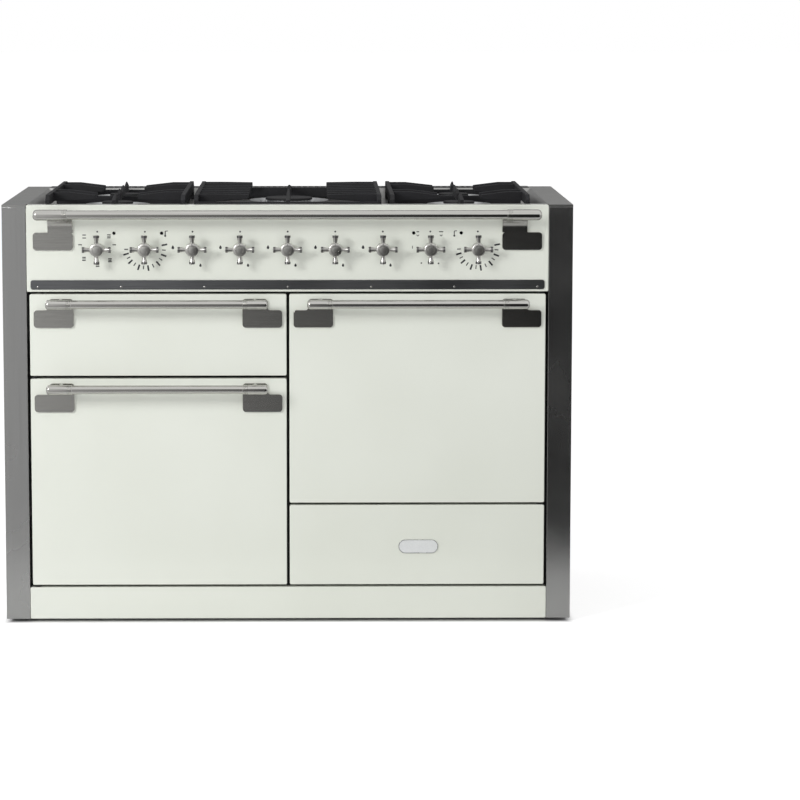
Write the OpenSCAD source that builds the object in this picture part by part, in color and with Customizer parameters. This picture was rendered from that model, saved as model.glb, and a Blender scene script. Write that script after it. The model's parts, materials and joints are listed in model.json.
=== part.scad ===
/* [Overall] */
// Width over the two side panels
cooker_w = 1212; // [1100:2:1300]
// Height from the floor to the hob rim
hob_h = 900; // [880:1:930]
// Depth from the door fronts to the back panel
body_d = 600; // [580:5:620]
// Height of the side panels and plinth above the floor
foot_gap = 8; // [8:1:20]

/* [Front layout] */
// Width of each steel pillar at the front
pillar_w = 51; // [40:1:60]
// Gap between a pillar and the door beside it
side_gap = 6; // [6:0.5:8]
// Gap between the two columns of doors
centre_gap = 6; // [5:0.5:8]
// Height of the gaps between one front and the next
row_gap = 5; // [5:0.5:7]
// Height of the plinth
plinth_h = 69; // [60:1:80]
// Height of the control fascia
fascia_h = 185; // [180:1:195]
// Height of the grill drawer's front
grill_front_h = 175; // [165:1:185]
// Height of the storage drawer's front
storage_front_h = 173; // [165:1:185]
// Depth of the enamelled front panels
front_d = 20; // [20:1:22]
// Corner radius of the enamelled fronts
front_r = 4; // [3:0.5:6]
// Edge radius of the enamelled fronts
edge_r = 2; // [1:0.5:3]
// Sheet thickness of the enamelled fronts
front_t = 1.5; // [1.2:0.1:2]

/* [Rails and handles] */
// Distance that the rails stand in front of the doors
rail_reach = 62; // [56:1:66]
// Diameter of the guard rail
guard_bar_dia = 19.6; // [18:0.2:22]
// Diameter of the guard rail's end collars
guard_collar_dia = 22.8; // [22.4:0.2:25]
// Distance of the guard rail below the hob rim
guard_drop = 18; // [17:0.5:20]
// Length of each guard rail collar
guard_collar_len = 72; // [60:1:80]
// Distance of the guard rail's ends from the fascia's ends
guard_inset = 20; // [16:1:30]
// Diameter of the door rails
bar_dia = 18.8; // [17:0.2:19.4]
// Diameter of the door rails' end collars
collar_dia = 20.4; // [20:0.2:22]
// Length of each door rail collar
collar_len = 54.6; // [50:0.2:60]
// Distance of a door rail below the top of its front
rail_drop = 17.2; // [16:0.2:19]
// Distance of a door rail's ends from the sides of its front
rail_inset = 38; // [34:1:42]
// Width of a bracket's foot
foot_w = 84.5; // [76:0.5:90]
// Height of a bracket's foot
foot_h = 37.5; // [34:0.5:40]
// Width of a bracket's neck
neck_w = 53; // [46:1:58]
// Corner radius of a bracket
bracket_r = 7; // [4:0.5:9]
// Thickness of a bracket
bracket_t = 5; // [4:0.5:6]

/* [Controls] */
// Distance of the knob axes below the hob rim
knob_drop = 93; // [88:1:98]
// Distance between the knobs
knob_pitch = 100.9; // [94:0.1:104]
// Span of a knob over its arms
knob_span = 61.5; // [56:0.5:66]
// Diameter of a knob's hub
hub_dia = 28.5; // [26:0.5:32]
// Distance of a knob's face from the fascia
knob_reach = 40; // [38:1:44]
// Diameter of a knob's arm at the hub
arm_dia = 8.3; // [7:0.1:10]
// Diameter of a knob's arm at its end
arm_end_dia = 12.2; // [11:0.1:14]
// Diameter of the spindles
spindle_dia = 6; // [5:0.5:8]
// Radial clearance of a spindle, pin or wire in its bore
run_gap = 0.05; // [0.03:0.01:0.08]
// Push travel of a gas knob
push_travel = 3; // [2:0.5:3.5]
// Height of the steel strip along the fascia
strip_h = 20; // [16:0.5:24]

/* [Hob] */
// Depth of the hob well below the rim
well_depth = 23; // [20:1:28]
// Height of the pan supports above the rim
grate_rise = 18; // [14:1:22]
// Width of each outer pan support
grate_w = 298; // [280:2:304]
// Width of the centre pan support
centre_grate_w = 400; // [380:2:404]
// Distance of the pan supports from the front and back of the hob well
grate_margin = 14; // [13:1:20]
// Distance of the outer burners from the middle of the hob
burner_x = 372; // [362:1:376]
// Distance of the front burners behind the door fronts
burner_front = 185; // [180:1:195]
// Distance of the rear burners in front of the back panel
burner_rear = 160; // [158:1:168]
// Diameter of an outer burner's head
burner_dia = 68; // [60:1:76]
// Diameter of the centre burner's head
wok_dia = 104; // [96:1:110]

/* [Ovens] */
// Distance of an oven's mouth from the edges of its door
mouth_inset = 44; // [42:1:50]
// Depth kept free behind the ovens for the fan motors
motor_space = 112; // [108:1:140]
// Depth of the fan space behind its cover
fan_space = 44; // [42:1:48]
// Diameter of the fan
fan_dia = 150; // [130:2:160]
// Distance of a hinge axis from its door's outer edge
hinge_in = 10; // [9:0.5:10.5]
// Depth of the grill compartment
grill_d = 400; // [380:5:420]
// Travel of the grill drawer
grill_travel = 320; // [260:5:330]
// Depth of the storage drawer's box
storage_d = 420; // [400:5:440]

/* [Hidden] */
$fn = 48;

// The hob's gas inlet stands this far behind the back panel.
inlet_reach = 20;
total_d = rail_reach + body_d + inlet_reach;
// Planes across the depth: door fronts and back of the body.
yf = rail_reach - total_d / 2;
yb = yf + body_d;
half_w = cooker_w / 2;
inner_x = half_w - pillar_w;
sheet = 1.2;
// Slack between flat parts that move past each other, or soft parts and their seats.
slip = 0.3;

// Heights of the rows on the front.
plinth_top = foot_gap + plinth_h;
low_z = plinth_top + row_gap;
fascia_z = hob_h - fascia_h;
fronts_top = fascia_z - row_gap;
grill_z = fronts_top - grill_front_h;
left_door_top = grill_z - row_gap - 1;
storage_top = low_z + storage_front_h;
right_door_z = storage_top + row_gap;
door_x0 = centre_gap / 2;
door_x1 = inner_x - side_gap;
front_w = door_x1 - door_x0;

// Depths behind the door fronts.
door_swing = front_d / 2 + sqrt(pow(front_d / 2, 2) + pow(hinge_in, 2));
frame_y = yf + door_swing + 1;
frame_t = 2.5;
plug_y = yf + front_d + 12;
seal_d = 6;
liner_y = plug_y + slip + seal_d;
plug_in = 28;
frame_in = 19;
flange_in = 9;
oven_d = yb - motor_space - liner_y;
cover_y = liner_y + oven_d - fan_space;

// Spindles and knobs.
knob_z = hob_h - knob_drop;
knob_gap = push_travel + 2;
spindle_r = spindle_dia / 2;
bore_r = spindle_r + run_gap;

// Hob.
well_z = hob_h - well_depth;
well_y0 = yf + front_d + 10;
vent_d = 62;
well_y1 = yb - vent_d;
well_slope = 20;
grate_top = hob_h + grate_rise;
grate_gap = 19;
grate_y0 = well_y0 + grate_margin;
grate_y1 = well_y1 - grate_margin;
front_burner_y = yf + burner_front;
rear_burner_y = yb - burner_rear;
grate_x = centre_grate_w / 2 + grate_gap + grate_w / 2;
wok_y = (front_burner_y + rear_burner_y) / 2;

// Runners: nested channels, from the fixed member to the moving one.
runner_t = 1.5;
runner_w = 12;
runner_half = 22;
runner_step = runner_t + slip;
grill_in = 49;
grill_x0 = door_x0 + grill_in;
grill_x1 = door_x1 - grill_in;
grill_floor = grill_z + 21;
grill_roof = fronts_top - 12;
grill_runner_z = grill_floor + runner_half + 6;
grill_runner_d = grill_d - 24;
storage_in = 24;
storage_runner_z = plinth_top + 60;

// A box given by its two corners.
module span(x0, x1, y0, y1, z0, z1) {
    translate([x0, y0, z0]) cube([x1 - x0, y1 - y0, z1 - z0]);
}

// A rectangle with round corners, given by its limits.
module rounded(x0, x1, y0, y1, r) {
    translate([x0 + r, y0]) square([x1 - x0 - 2 * r, y1 - y0]);
    translate([x0, y0 + r]) square([x1 - x0, y1 - y0 - 2 * r]);
    for (x = [x0 + r, x1 - r], y = [y0 + r, y1 - r])
        translate([x, y]) circle(r);
}

// Extrudes an outline drawn in X and Z from depth y back over t.
module upright(y, t) {
    translate([0, y + t, 0]) rotate([90, 0, 0]) linear_extrude(t) children();
}

// Extrudes an outline drawn in Y and Z from x over w.
module crosswise(x, w) {
    translate([x, 0, 0]) rotate([90, 0, 90]) linear_extrude(w) children();
}

// A rod along X, Y or Z from a point.
module rod_x(p, len, r) {
    translate(p) rotate([0, 90, 0]) cylinder(h = len, r = r);
}
module rod_y(p, len, r) {
    translate(p) rotate([-90, 0, 0]) cylinder(h = len, r = r);
}
module rod_z(p, len, r) {
    translate(p) cylinder(h = len, r = r);
}

// Draws its children as they are and again mirrored to the other side.
module both_sides() {
    children();
    mirror([1, 0, 0]) children();
}

// A pressed and enamelled front: round corners, soft front edges, open at the back.
module enamel_front(x0, x1, z0, z1, d) {
    difference() {
        intersection() {
            upright(yf, d) rounded(x0, x1, z0, z1, front_r);
            crosswise(x0 - 1, x1 - x0 + 2) soft_edge(yf, z0, z1, d);
            translate([0, 0, z0 - 1]) linear_extrude(z1 - z0 + 2) soft_edge_plan(x0, x1, d);
        }
        span(x0 + front_t, x1 - front_t, yf + front_t, yf + d + 1, z0 + front_t, z1 - front_t);
    }
}
module soft_edge(y, z0, z1, d) {
    translate([y + edge_r, z0]) square([d, z1 - z0]);
    translate([y, z0 + edge_r]) square([d, z1 - z0 - 2 * edge_r]);
    for (z = [z0 + edge_r, z1 - edge_r])
        translate([y + edge_r, z]) circle(edge_r);
}
module soft_edge_plan(x0, x1, d) {
    translate([x0, yf + edge_r]) square([x1 - x0, d]);
    translate([x0 + edge_r, yf]) square([x1 - x0 - 2 * edge_r, d]);
    for (x = [x0 + edge_r, x1 - edge_r])
        translate([x, yf + edge_r]) circle(edge_r);
}

// Outer panels and frame.
nose = 5;
return_d = 30;
back_flange = 14;
panel_top = hob_h - nose;
lip_w = 2 * inner_x - 4;
base_t = 1.5;
base_y0 = yf + return_d + 1;
pipe_x = half_w - 28;
manifold_z = knob_z - 32;
manifold_y = yf + 48;
inlet_r = 10.48;

module side_panels() {
    color("#8d8e8f") both_sides() translate([0, 0, foot_gap]) linear_extrude(panel_top - foot_gap) {
        translate([half_w - sheet, yf]) square([sheet, body_d - sheet]);
        translate([inner_x, yf]) square([pillar_w, sheet]);
        translate([inner_x, yf]) square([sheet, return_d]);
        translate([half_w - back_flange, yb - 2 * sheet]) square([back_flange, sheet]);
    }
}

module back_panel() {
    louvre = [62, 6];
    color("#9a9c9d") upright(yb - sheet, sheet) difference() {
        rounded(-half_w + 1, half_w - 1, 30, panel_top - nose, 3);
        for (side = [-1, 1], column = [0:5], row = [0:7])
            translate([side * 280 + (column - 2.5) * 78 - louvre[0] / 2, 560 + row * 16]) square(louvre);
        translate([pipe_x, manifold_z]) circle(inlet_r + 2);
        translate([-half_w + 90, 120]) square([70, 46]);
    }
}

module base_frame() {
    x1 = half_w - sheet;
    y1 = yb - 2 * sheet - slip;
    color("#3a3b3c") difference() {
        union() {
            span(-x1, x1, base_y0, y1, plinth_top - base_t, plinth_top);
            span(-lip_w / 2, lip_w / 2, yf + front_d, base_y0, plinth_top - base_t, plinth_top);
            for (y = [base_y0, y1 - base_t])
                span(-x1, x1, y, y + base_t, 30, plinth_top);
            for (x = [-x1, x1 - base_t])
                span(x, x + base_t, base_y0, y1, 30, plinth_top);
            for (x = foot_x, y = foot_y)
                rod_z([x, y, 34], plinth_top - base_t - 34, stem_r + 7);
        }
        for (x = foot_x, y = foot_y)
            rod_z([x, y, 20], 50, stem_r + 0.1);
    }
}

stem_r = 5;
foot_x = [-half_w + 70, 0, half_w - 70];
foot_y = [yf + 90, yb - 70];

module levelling_feet() {
    color("#2c2c2e") for (x = foot_x, y = foot_y) {
        rod_z([x, y, 0], 6, 20);
        rod_z([x, y, 6], 5, 11);
        rod_z([x, y, 11], 57, stem_r);
    }
}

module plinth() {
    color("#e1e4da") enamel_front(-inner_x + 0.5, inner_x - 0.5, foot_gap, plinth_top, front_d);
}

// Openings of the front frame: x0, x1, z0, z1 on the right-hand side of the middle.
oven_hole_x = [door_x0 + frame_in, door_x1 - frame_in];
left_oven_z = [low_z + frame_in, left_door_top - frame_in];
right_oven_z = [right_door_z + frame_in, fronts_top - frame_in];
grill_hole_z = [grill_z + 13, fronts_top - 5];
storage_hole_z = [low_z + 13, storage_top - 10];

module frame_openings(grow) {
    x0 = oven_hole_x[0] - grow;
    x1 = oven_hole_x[1] + grow;
    rounded(-x1, -x0, left_oven_z[0] - grow, left_oven_z[1] + grow, 8);
    rounded(-x1, -x0, grill_hole_z[0] - grow, grill_hole_z[1] + grow, 4);
    rounded(x0, x1, right_oven_z[0] - grow, right_oven_z[1] + grow, 8);
    rounded(x0, x1, storage_hole_z[0] - grow, storage_hole_z[1] + grow, 4);
}

module front_frame() {
    color("#141415") {
        upright(frame_y, frame_t) difference() {
            translate([-inner_x + 0.5, plinth_top]) square([2 * inner_x - 1, hob_h - 34 - plinth_top]);
            frame_openings(0);
            translate([-inner_x + 40, fascia_z + 24]) square([2 * inner_x - 80, fascia_h - 80]);
        }
        upright(frame_y + 1, liner_y - frame_y - 1) difference() {
            frame_openings(front_t);
            frame_openings(0);
        }
    }
}

// Door pivots: an upright axis near each door's outer front corner.
pivot_x = door_x1 - hinge_in;
pivot_y = yf + front_d / 2;
pin_r = 4;
pin_in = 12;
bracket_plate = 2;

module hinge_bracket(x, plate_z, pin_z0, pin_z1) {
    span(x - 8, x + 8, pivot_y, frame_y, plate_z, plate_z + bracket_plate);
    rod_z([x, pivot_y, plate_z], bracket_plate, 8);
    rod_z([x, pivot_y, pin_z0], pin_z1 - pin_z0, pin_r);
}

module door_hinges(x, z0, z1, top_gap) {
    hinge_bracket(x, z0 - 3.5, z0 - 3.5, z0 + pin_in);
    hinge_bracket(x, z1 + top_gap / 2 - 1, z1 - pin_in, z1 + top_gap / 2 + 1);
}

module hinge_brackets() {
    color("#1d1d1f") {
        door_hinges(-pivot_x, low_z, left_door_top, row_gap + 1);
        door_hinges(pivot_x, right_door_z, fronts_top, row_gap);
    }
}

module control_fascia() {
    color("#e1e4da") difference() {
        enamel_front(-inner_x + 0.5, inner_x - 0.5, fascia_z, hob_h, frame_y - yf);
        for (i = [-4:4])
            rod_y([i * knob_pitch, yf - 1, knob_z], 4, spindle_r + 3);
        for (x = lamp_x)
            rod_y([x, yf - 1, lamp_z], 4, lamp_r + 0.1);
    }
}

lamp_r = 3.4;
lamp_z = knob_z + 33;
lamp_x = [-3.65 * knob_pitch, -2.65 * knob_pitch, 2.65 * knob_pitch, 3.65 * knob_pitch];

module indicator_lamps() {
    color("#101012") for (x = lamp_x) {
        rod_y([x, yf - 1, lamp_z], 16, lamp_r);
        rod_y([x, yf + front_t, lamp_z], 8, lamp_r + 2);
    }
}

module fascia_strip() {
    x = inner_x - 9;
    color("#5f6062") upright(yf - 2, 2) rounded(-x, x, fascia_z + 5, fascia_z + 5 + strip_h, 5);
}

// A rail's end collar along X: domed outer end, bored inner end, a fine groove near it.
module collar(r, len, bore) {
    dome = r * 0.7;
    rotate([0, 90, 0]) rotate_extrude() difference() {
        union() {
            translate([0, dome]) square([r, len - dome]);
            square([r - dome, len]);
            translate([r - dome, dome]) circle(dome);
        }
        translate([-r, -1]) square([r, len + 2]);
        translate([-1, len - 12]) square([bore + 1, 13]);
        translate([r - 0.35, len - 5]) square([2, 1.6]);
    }
}

module rail(x1, y, z, r, end_r, end_len) {
    both_sides_of(0) translate([-x1, y, z]) collar(end_r, end_len, r + 0.1);
    rod_x([-x1 + end_len - 11, y, z], 2 * (x1 - end_len + 11), r);
}

// Mirrors about an upright plane at x.
module both_sides_of(x) {
    children();
    translate([2 * x, 0, 0]) mirror([1, 0, 0]) children();
}

// A bracket's outline: foot to the left, neck flush with its inner edge at x = 0.
module bracket_outline(z_foot, z_top) {
    rounded(-foot_w, 0, z_foot, z_foot + foot_h, bracket_r);
    rounded(-neck_w, 0, z_foot, z_top, bracket_r);
    difference() {
        translate([-neck_w - bracket_r, z_foot + foot_h - 1]) square([bracket_r + 1, bracket_r + 1]);
        translate([-neck_w - bracket_r, z_foot + foot_h + bracket_r]) circle(bracket_r);
    }
}

module door_rail(x0, x1, z1) {
    mid = (x0 + x1) / 2;
    half = (x1 - x0) / 2 - rail_inset;
    r = collar_dia / 2;
    y = yf - rail_reach + r;
    z = z1 - rail_drop;
    foot_x0 = -(x1 - x0) / 2 + 9 + foot_w;
    translate([mid, 0, 0]) {
        rail(half, y, z, bar_dia / 2, r, collar_len);
        both_sides() {
            upright(yf - bracket_t, bracket_t) translate([foot_x0, 0]) bracket_outline(z1 - 71.5, z + r - 3);
            rod_y([foot_x0 - neck_w / 2, y, z], yf - bracket_t / 2 - y, r * 0.7);
        }
    }
}

module left_door_handle() {
    color("#a3a3a1") door_rail(-door_x1, -door_x0, left_door_top);
}

module right_door_handle() {
    color("#a3a3a1") door_rail(door_x0, door_x1, fronts_top);
}

module grill_handle() {
    color("#a3a3a1") door_rail(-door_x1, -door_x0, fronts_top);
}

// The guard rail's brackets curve out from the fascia to the rail.
module guard_rail() {
    r = guard_collar_dia / 2;
    y = yf - rail_reach + r;
    z = hob_h - guard_drop;
    half = inner_x - guard_inset;
    foot_z = z - 78;
    bend = z - foot_z - foot_h;
    inner = -inner_x + 15 + foot_w;
    color("#a3a3a1") {
        rail(half, y, z, guard_bar_dia / 2, r, guard_collar_len);
        both_sides() {
            upright(yf - bracket_t, bracket_t)
                translate([inner, 0]) rounded(-foot_w, 0, foot_z, foot_z + foot_h, bracket_r);
            difference() {
                crosswise(inner - neck_w, neck_w) {
                    translate([yf - bend, foot_z + foot_h]) intersection() {
                        difference() {
                            circle(bend);
                            circle(bend - bracket_t);
                        }
                        square(bend + 1);
                    }
                    translate([y, z - bracket_t]) square([yf - bend - y + 0.5, bracket_t]);
                }
                rod_x([-half + guard_collar_len - 12, y, z], 60, guard_bar_dia / 2 + 0.1);
            }
        }
    }
}

module hinge_bores(x, z0, z1) {
    rod_z([x, pivot_y, z0 - 1], pin_in + 3, pin_r + run_gap);
    rod_z([x, pivot_y, z1 - pin_in - 2], pin_in + 3, pin_r + run_gap);
}

module door_panel(x0, x1, z0, z1, hinge_x) {
    difference() {
        enamel_front(x0, x1, z0, z1, front_d);
        rod_z([hinge_x, pivot_y, z0 - 1], front_t + 2, pin_r + 1);
        rod_z([hinge_x, pivot_y, z1 - front_t - 1], front_t + 2, pin_r + 1);
    }
}

// The inner door: a plate in the panel's back, a plug that meets the seal, and the hinge post.
module door_liner(x0, x1, z0, z1, hinge_x) {
    in = front_t + slip;
    back = yf + front_d - front_t;
    post = 7;
    difference() {
        union() {
            span(x0 + in, x1 - in, back, yf + front_d, z0 + in, z1 - in);
            upright(yf + front_d, plug_y - yf - front_d)
                rounded(x0 + plug_in, x1 - plug_in, z0 + plug_in, z1 - plug_in, 12);
            span(hinge_x - post, hinge_x + post, yf + front_t, back, z0 + in, z1 - in);
        }
        upright(yf + front_d - front_t - 1, plug_y - yf - front_d)
            rounded(x0 + plug_in + 2, x1 - plug_in - 2, z0 + plug_in + 2, z1 - plug_in - 2, 10);
        hinge_bores(hinge_x, z0, z1);
    }
}

module left_door_panel() {
    color("#e1e4da") door_panel(-door_x1, -door_x0, low_z, left_door_top, -pivot_x);
}

module left_door_liner() {
    color("#26262a") door_liner(-door_x1, -door_x0, low_z, left_door_top, -pivot_x);
}

module right_door_panel() {
    color("#e1e4da") door_panel(door_x0, door_x1, right_door_z, fronts_top, pivot_x);
}

module right_door_liner() {
    color("#26262a") door_liner(door_x0, door_x1, right_door_z, fronts_top, pivot_x);
}

// The hob: a pressed tray with side rims and a sunk well.
burners = [[-burner_x, front_burner_y, burner_dia], [-burner_x, rear_burner_y, burner_dia],
    [0, wok_y, wok_dia], [burner_x, rear_burner_y, burner_dia], [burner_x, front_burner_y, burner_dia]];
stem_drop = 28;
head_h = 13;
dish_h = 12;
cap_h = 5;

// The well as a solid with sloping sides, grown outwards and down by g.
module well_solid(g) {
    intersection() {
        upright(well_y0 - g - 1, well_y1 - well_y0 + 2 * g + 2) polygon([
            [-inner_x + 1 - g, hob_h + 1], [inner_x - 1 + g, hob_h + 1],
            [inner_x - 1 - well_slope + g, well_z - g], [-inner_x + 1 + well_slope - g, well_z - g]]);
        crosswise(-inner_x - 10, 2 * inner_x + 20) polygon([
            [well_y0 - g, hob_h + 1], [well_y1 + g, hob_h + 1],
            [well_y1 + g - 6, well_z - g], [well_y0 - g + 6, well_z - g]]);
    }
}

module hob_tray() {
    fascia_back = frame_y + slip;
    color("#a9aaab") difference() {
        union() {
            linear_extrude_at(hob_h - sheet, sheet) difference() {
                translate([-half_w, yf]) square([cooker_w, body_d]);
                translate([-inner_x, yf - 1]) square([2 * inner_x, fascia_back - yf + 1]);
                translate([-inner_x + 20, well_y1 + 14]) square([2 * inner_x - 40, vent_d - 28]);
            }
            both_sides() {
                span(half_w - sheet, half_w, yf, yb, panel_top, hob_h);
                span(inner_x, half_w, yf, yf + sheet, panel_top, hob_h);
            }
            span(-half_w, half_w, yb - sheet, yb, panel_top, hob_h);
            intersection() {
                well_solid(sheet);
                span(-half_w, half_w, yf, yb, 0, hob_h);
            }
        }
        well_solid(0);
        for (b = burners)
            rod_z([b[0], b[1], well_z - 10], 20, 20);
    }
}

module linear_extrude_at(z, h) {
    translate([0, 0, z]) linear_extrude(h) children();
}

module rear_vent() {
    pitch = 14;
    count = floor((2 * inner_x - 40) / pitch);
    color("#8b8c8d") linear_extrude_at(hob_h, 1.5) difference() {
        rounded(-inner_x + 4, inner_x - 4, well_y1 + 6, yb - 6, 3);
        for (i = [0:count - 1])
            translate([(i - (count - 1) / 2) * pitch - 4.5, well_y1 + 15]) square([9, vent_d - 30]);
    }
}

module burner_head(dia) {
    r = dia / 2;
    ports = floor(dia / 3.2);
    difference() {
        cylinder(h = dish_h, r1 = r + 24, r2 = r + 36);
        translate([0, 0, 2]) cylinder(h = dish_h, r1 = r + 24.4, r2 = r + 36.4);
    }
    translate([0, 0, -stem_drop]) cylinder(h = stem_drop + 1, r = 14);
    difference() {
        cylinder(h = head_h, r = r - 3);
        for (i = [0:ports - 1])
            rotate([0, 0, i * 360 / ports]) translate([r - 9, -0.9, head_h - 5]) cube([9, 1.8, 6]);
    }
    rotate([0, 0, 200]) translate([r + 4, 0, 0]) cylinder(h = head_h - 1, r = 2);
}

module burner_heads() {
    color("#b9babb") for (b = burners)
        translate([b[0], b[1], well_z]) burner_head(b[2]);
}

module burner_caps() {
    color("#1a1a1b") for (b = burners)
        translate([b[0], b[1], well_z + head_h]) rotate_extrude() {
            square([b[2] / 2 - 2, cap_h]);
            square([b[2] / 2, cap_h - 2]);
            translate([b[2] / 2 - 2, cap_h - 2]) circle(2);
        }
}

// Pan supports stand in the well on their four legs.
grate_t = 9;
grate_z = well_z + slip;
blade_t = 8;

module grate_side(x) {
    y0 = grate_y0;
    y1 = grate_y1;
    crosswise(x, grate_t) polygon([[y0, grate_z], [y0, grate_top - 10], [y0 + 12, grate_top],
        [y1 - 12, grate_top], [y1, grate_top - 10], [y1, grate_z], [y1 - 12, grate_z],
        [y1 - 16, grate_top - 22], [y0 + 16, grate_top - 22], [y0 + 12, grate_z]]);
}

// A low bar across a pan support, with its top at z.
module grate_bar(half, y, z) {
    span(-half, half, y, y + grate_t, grate_z + 3, z);
}

// A blade along X: level from the side bar, then falling to a blunt tip beside the burner.
module finger(x_side, x_tip, y, tip_drop) {
    x_knee = x_side + (x_tip - x_side) * 0.4;
    upright(y - blade_t / 2, blade_t) polygon([[x_side, grate_top], [x_side, grate_top - 20],
        [x_tip, grate_top - 10 - tip_drop], [x_tip, grate_top - tip_drop], [x_knee, grate_top]]);
}

// A fin along Y with a ridged top, from a cross bar to its tip beside the burner.
module fin(x, y_bar, y_tip) {
    s = y_tip > y_bar ? 1 : -1;
    z0 = hob_h - 6;
    intersection() {
        crosswise(x - blade_t / 2, blade_t) polygon([[y_bar, z0], [y_bar, grate_top - 11],
            [y_tip - s * 14, grate_top], [y_tip, grate_top - 9], [y_tip, z0]]);
        upright(min(y_bar, y_tip) - 1, abs(y_tip - y_bar) + 2) polygon([[x - blade_t / 2, z0 - 1],
            [x - blade_t / 2, grate_top - 9], [x - 1, grate_top + 1], [x + 1, grate_top + 1],
            [x + blade_t / 2, grate_top - 9], [x + blade_t / 2, z0 - 1]]);
    }
}

module grate_frame(w, z_bar) {
    half = w / 2;
    grate_side(-half);
    grate_side(half - grate_t);
    for (y = [grate_y0, grate_y1 - grate_t])
        grate_bar(half - 1, y, z_bar);
}

module outer_grate(bx) {
    half = grate_w / 2;
    reach = burner_dia / 2 + 12;
    z_bar = hob_h - 2;
    color("#202024") {
        grate_frame(grate_w, z_bar);
        grate_bar(half - 1, wok_y - grate_t / 2, z_bar);
        for (y = [front_burner_y, rear_burner_y], dy = [-36, 36]) {
            finger(-half + 4, bx - reach, y + dy, 7);
            finger(half - 4, bx + reach, y + dy, 7);
        }
        fin(bx, grate_y0 + 4, front_burner_y - reach);
        fin(bx, wok_y, front_burner_y + reach);
        fin(bx, wok_y, rear_burner_y - reach);
        fin(bx, grate_y1 - 4, rear_burner_y + reach);
    }
}

module left_grate() {
    translate([-grate_x, 0, 0]) outer_grate(grate_x - burner_x);
}

module right_grate() {
    translate([grate_x, 0, 0]) outer_grate(burner_x - grate_x);
}

module centre_grate() {
    bar_len = 112;
    reach = wok_dia / 2 + 8;
    x_side = centre_grate_w / 2 - 4;
    bar_step = (grate_y1 - grate_y0 - 60) / 7.25;
    color("#202024") {
        grate_frame(centre_grate_w, hob_h + 3);
        for (i = [-4:3], side = [-1, 1])
            finger(side * x_side, side * (x_side - bar_len), wok_y + i * bar_step, 1);
        fin(0, grate_y0 + 4, wok_y - reach);
        fin(0, grate_y1 - 4, wok_y + reach);
    }
}

// Oven cavities.
mouth_x = [door_x0 + mouth_inset, door_x1 - mouth_inset];
left_mouth_z = [low_z + mouth_inset, left_door_top - mouth_inset];
right_mouth_z = [right_door_z + mouth_inset, fronts_top - mouth_inset];
oven_cx = (mouth_x[0] + mouth_x[1]) / 2;
left_cz = (left_mouth_z[0] + left_mouth_z[1]) / 2;
right_cz = (right_mouth_z[0] + right_mouth_z[1]) / 2;
oven_back = liner_y + oven_d;
shaft_r = 4;
ring_r = 95;
element_r = 3.5;
ring_leg_z = sqrt(ring_r * ring_r - 14 * 14);

module oven_liner(x0, x1, z, door_z) {
    difference() {
        union() {
            upright(liner_y, sheet) rounded(x0 - mouth_inset + flange_in, x1 + mouth_inset - flange_in,
                door_z[0] + flange_in, door_z[1] - flange_in, 6);
            upright(liner_y, oven_d + sheet) rounded(x0 - sheet, x1 + sheet, z[0] - sheet, z[1] + sheet, 13.2);
        }
        upright(liner_y - 1, oven_d + 1) rounded(x0, x1, z[0], z[1], 12);
        rod_y([(x0 + x1) / 2, oven_back - 1, (z[0] + z[1]) / 2], 4, shaft_r + 2);
        for (dx = [-14, 14])
            rod_y([(x0 + x1) / 2 + dx, oven_back - 1, (z[0] + z[1]) / 2 + ring_leg_z], 4, element_r + slip);
    }
}

module left_oven_liner() {
    color("#2a2b30") oven_liner(-mouth_x[1], -mouth_x[0], left_mouth_z, [low_z, left_door_top]);
}

module right_oven_liner() {
    color("#2a2b30") oven_liner(mouth_x[0], mouth_x[1], right_mouth_z, [right_door_z, fronts_top]);
}

module door_seal(x0, x1, z) {
    upright(plug_y + slip, seal_d) difference() {
        rounded(x0 - 12, x1 + 12, z[0] - 12, z[1] + 12, 16);
        rounded(x0 - 4, x1 + 4, z[0] - 4, z[1] + 4, 12);
    }
}

module door_seals() {
    color("#3c3c3e") {
        door_seal(-mouth_x[1], -mouth_x[0], left_mouth_z);
        door_seal(mouth_x[0], mouth_x[1], right_mouth_z);
    }
}

// Wire shelves on the ladders at the sides of a cavity.
module shelf_set(cx, z, levels, shelves) {
    half = (mouth_x[1] - mouth_x[0]) / 2;
    y0 = liner_y + 18;
    y1 = cover_y - 14;
    rise = (z[1] - z[0] - 90) / (levels - 1);
    wires = 13;
    translate([cx, 0, 0]) {
        both_sides() {
            for (y = [y0 + 30, y1 - 40])
                span(half - 7, half, y, y + 7, z[0] + 20, z[1] - 25);
            for (k = [0:levels - 1])
                rod_y([half - 8, y0 + 10, z[0] + 40 + k * rise], y1 - y0 - 20, 2.5, $fn = 8);
        }
        for (k = shelves)
            translate([0, 0, z[0] + 40 + k * rise + 5.7]) {
                both_sides() rod_y([half - 10.5, y0, 0], y1 - y0, 3, $fn = 8);
                for (y = [y0 + 3, (y0 + y1) / 2, y1 - 3])
                    rod_x([-half + 10.5, y, 0], 2 * half - 21, 3, $fn = 8);
                for (i = [1:wires - 1])
                    rod_y([-half + 10.5 + i * (2 * half - 21) / wires, y0 + 2, 1.5], y1 - y0 - 4, 2, $fn = 6);
            }
    }
}

module oven_racks() {
    color("#b4b4b2") {
        shelf_set(-oven_cx, left_mouth_z, 5, [0, 2]);
        shelf_set(oven_cx, right_mouth_z, 5, [0, 2]);
    }
}

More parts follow.
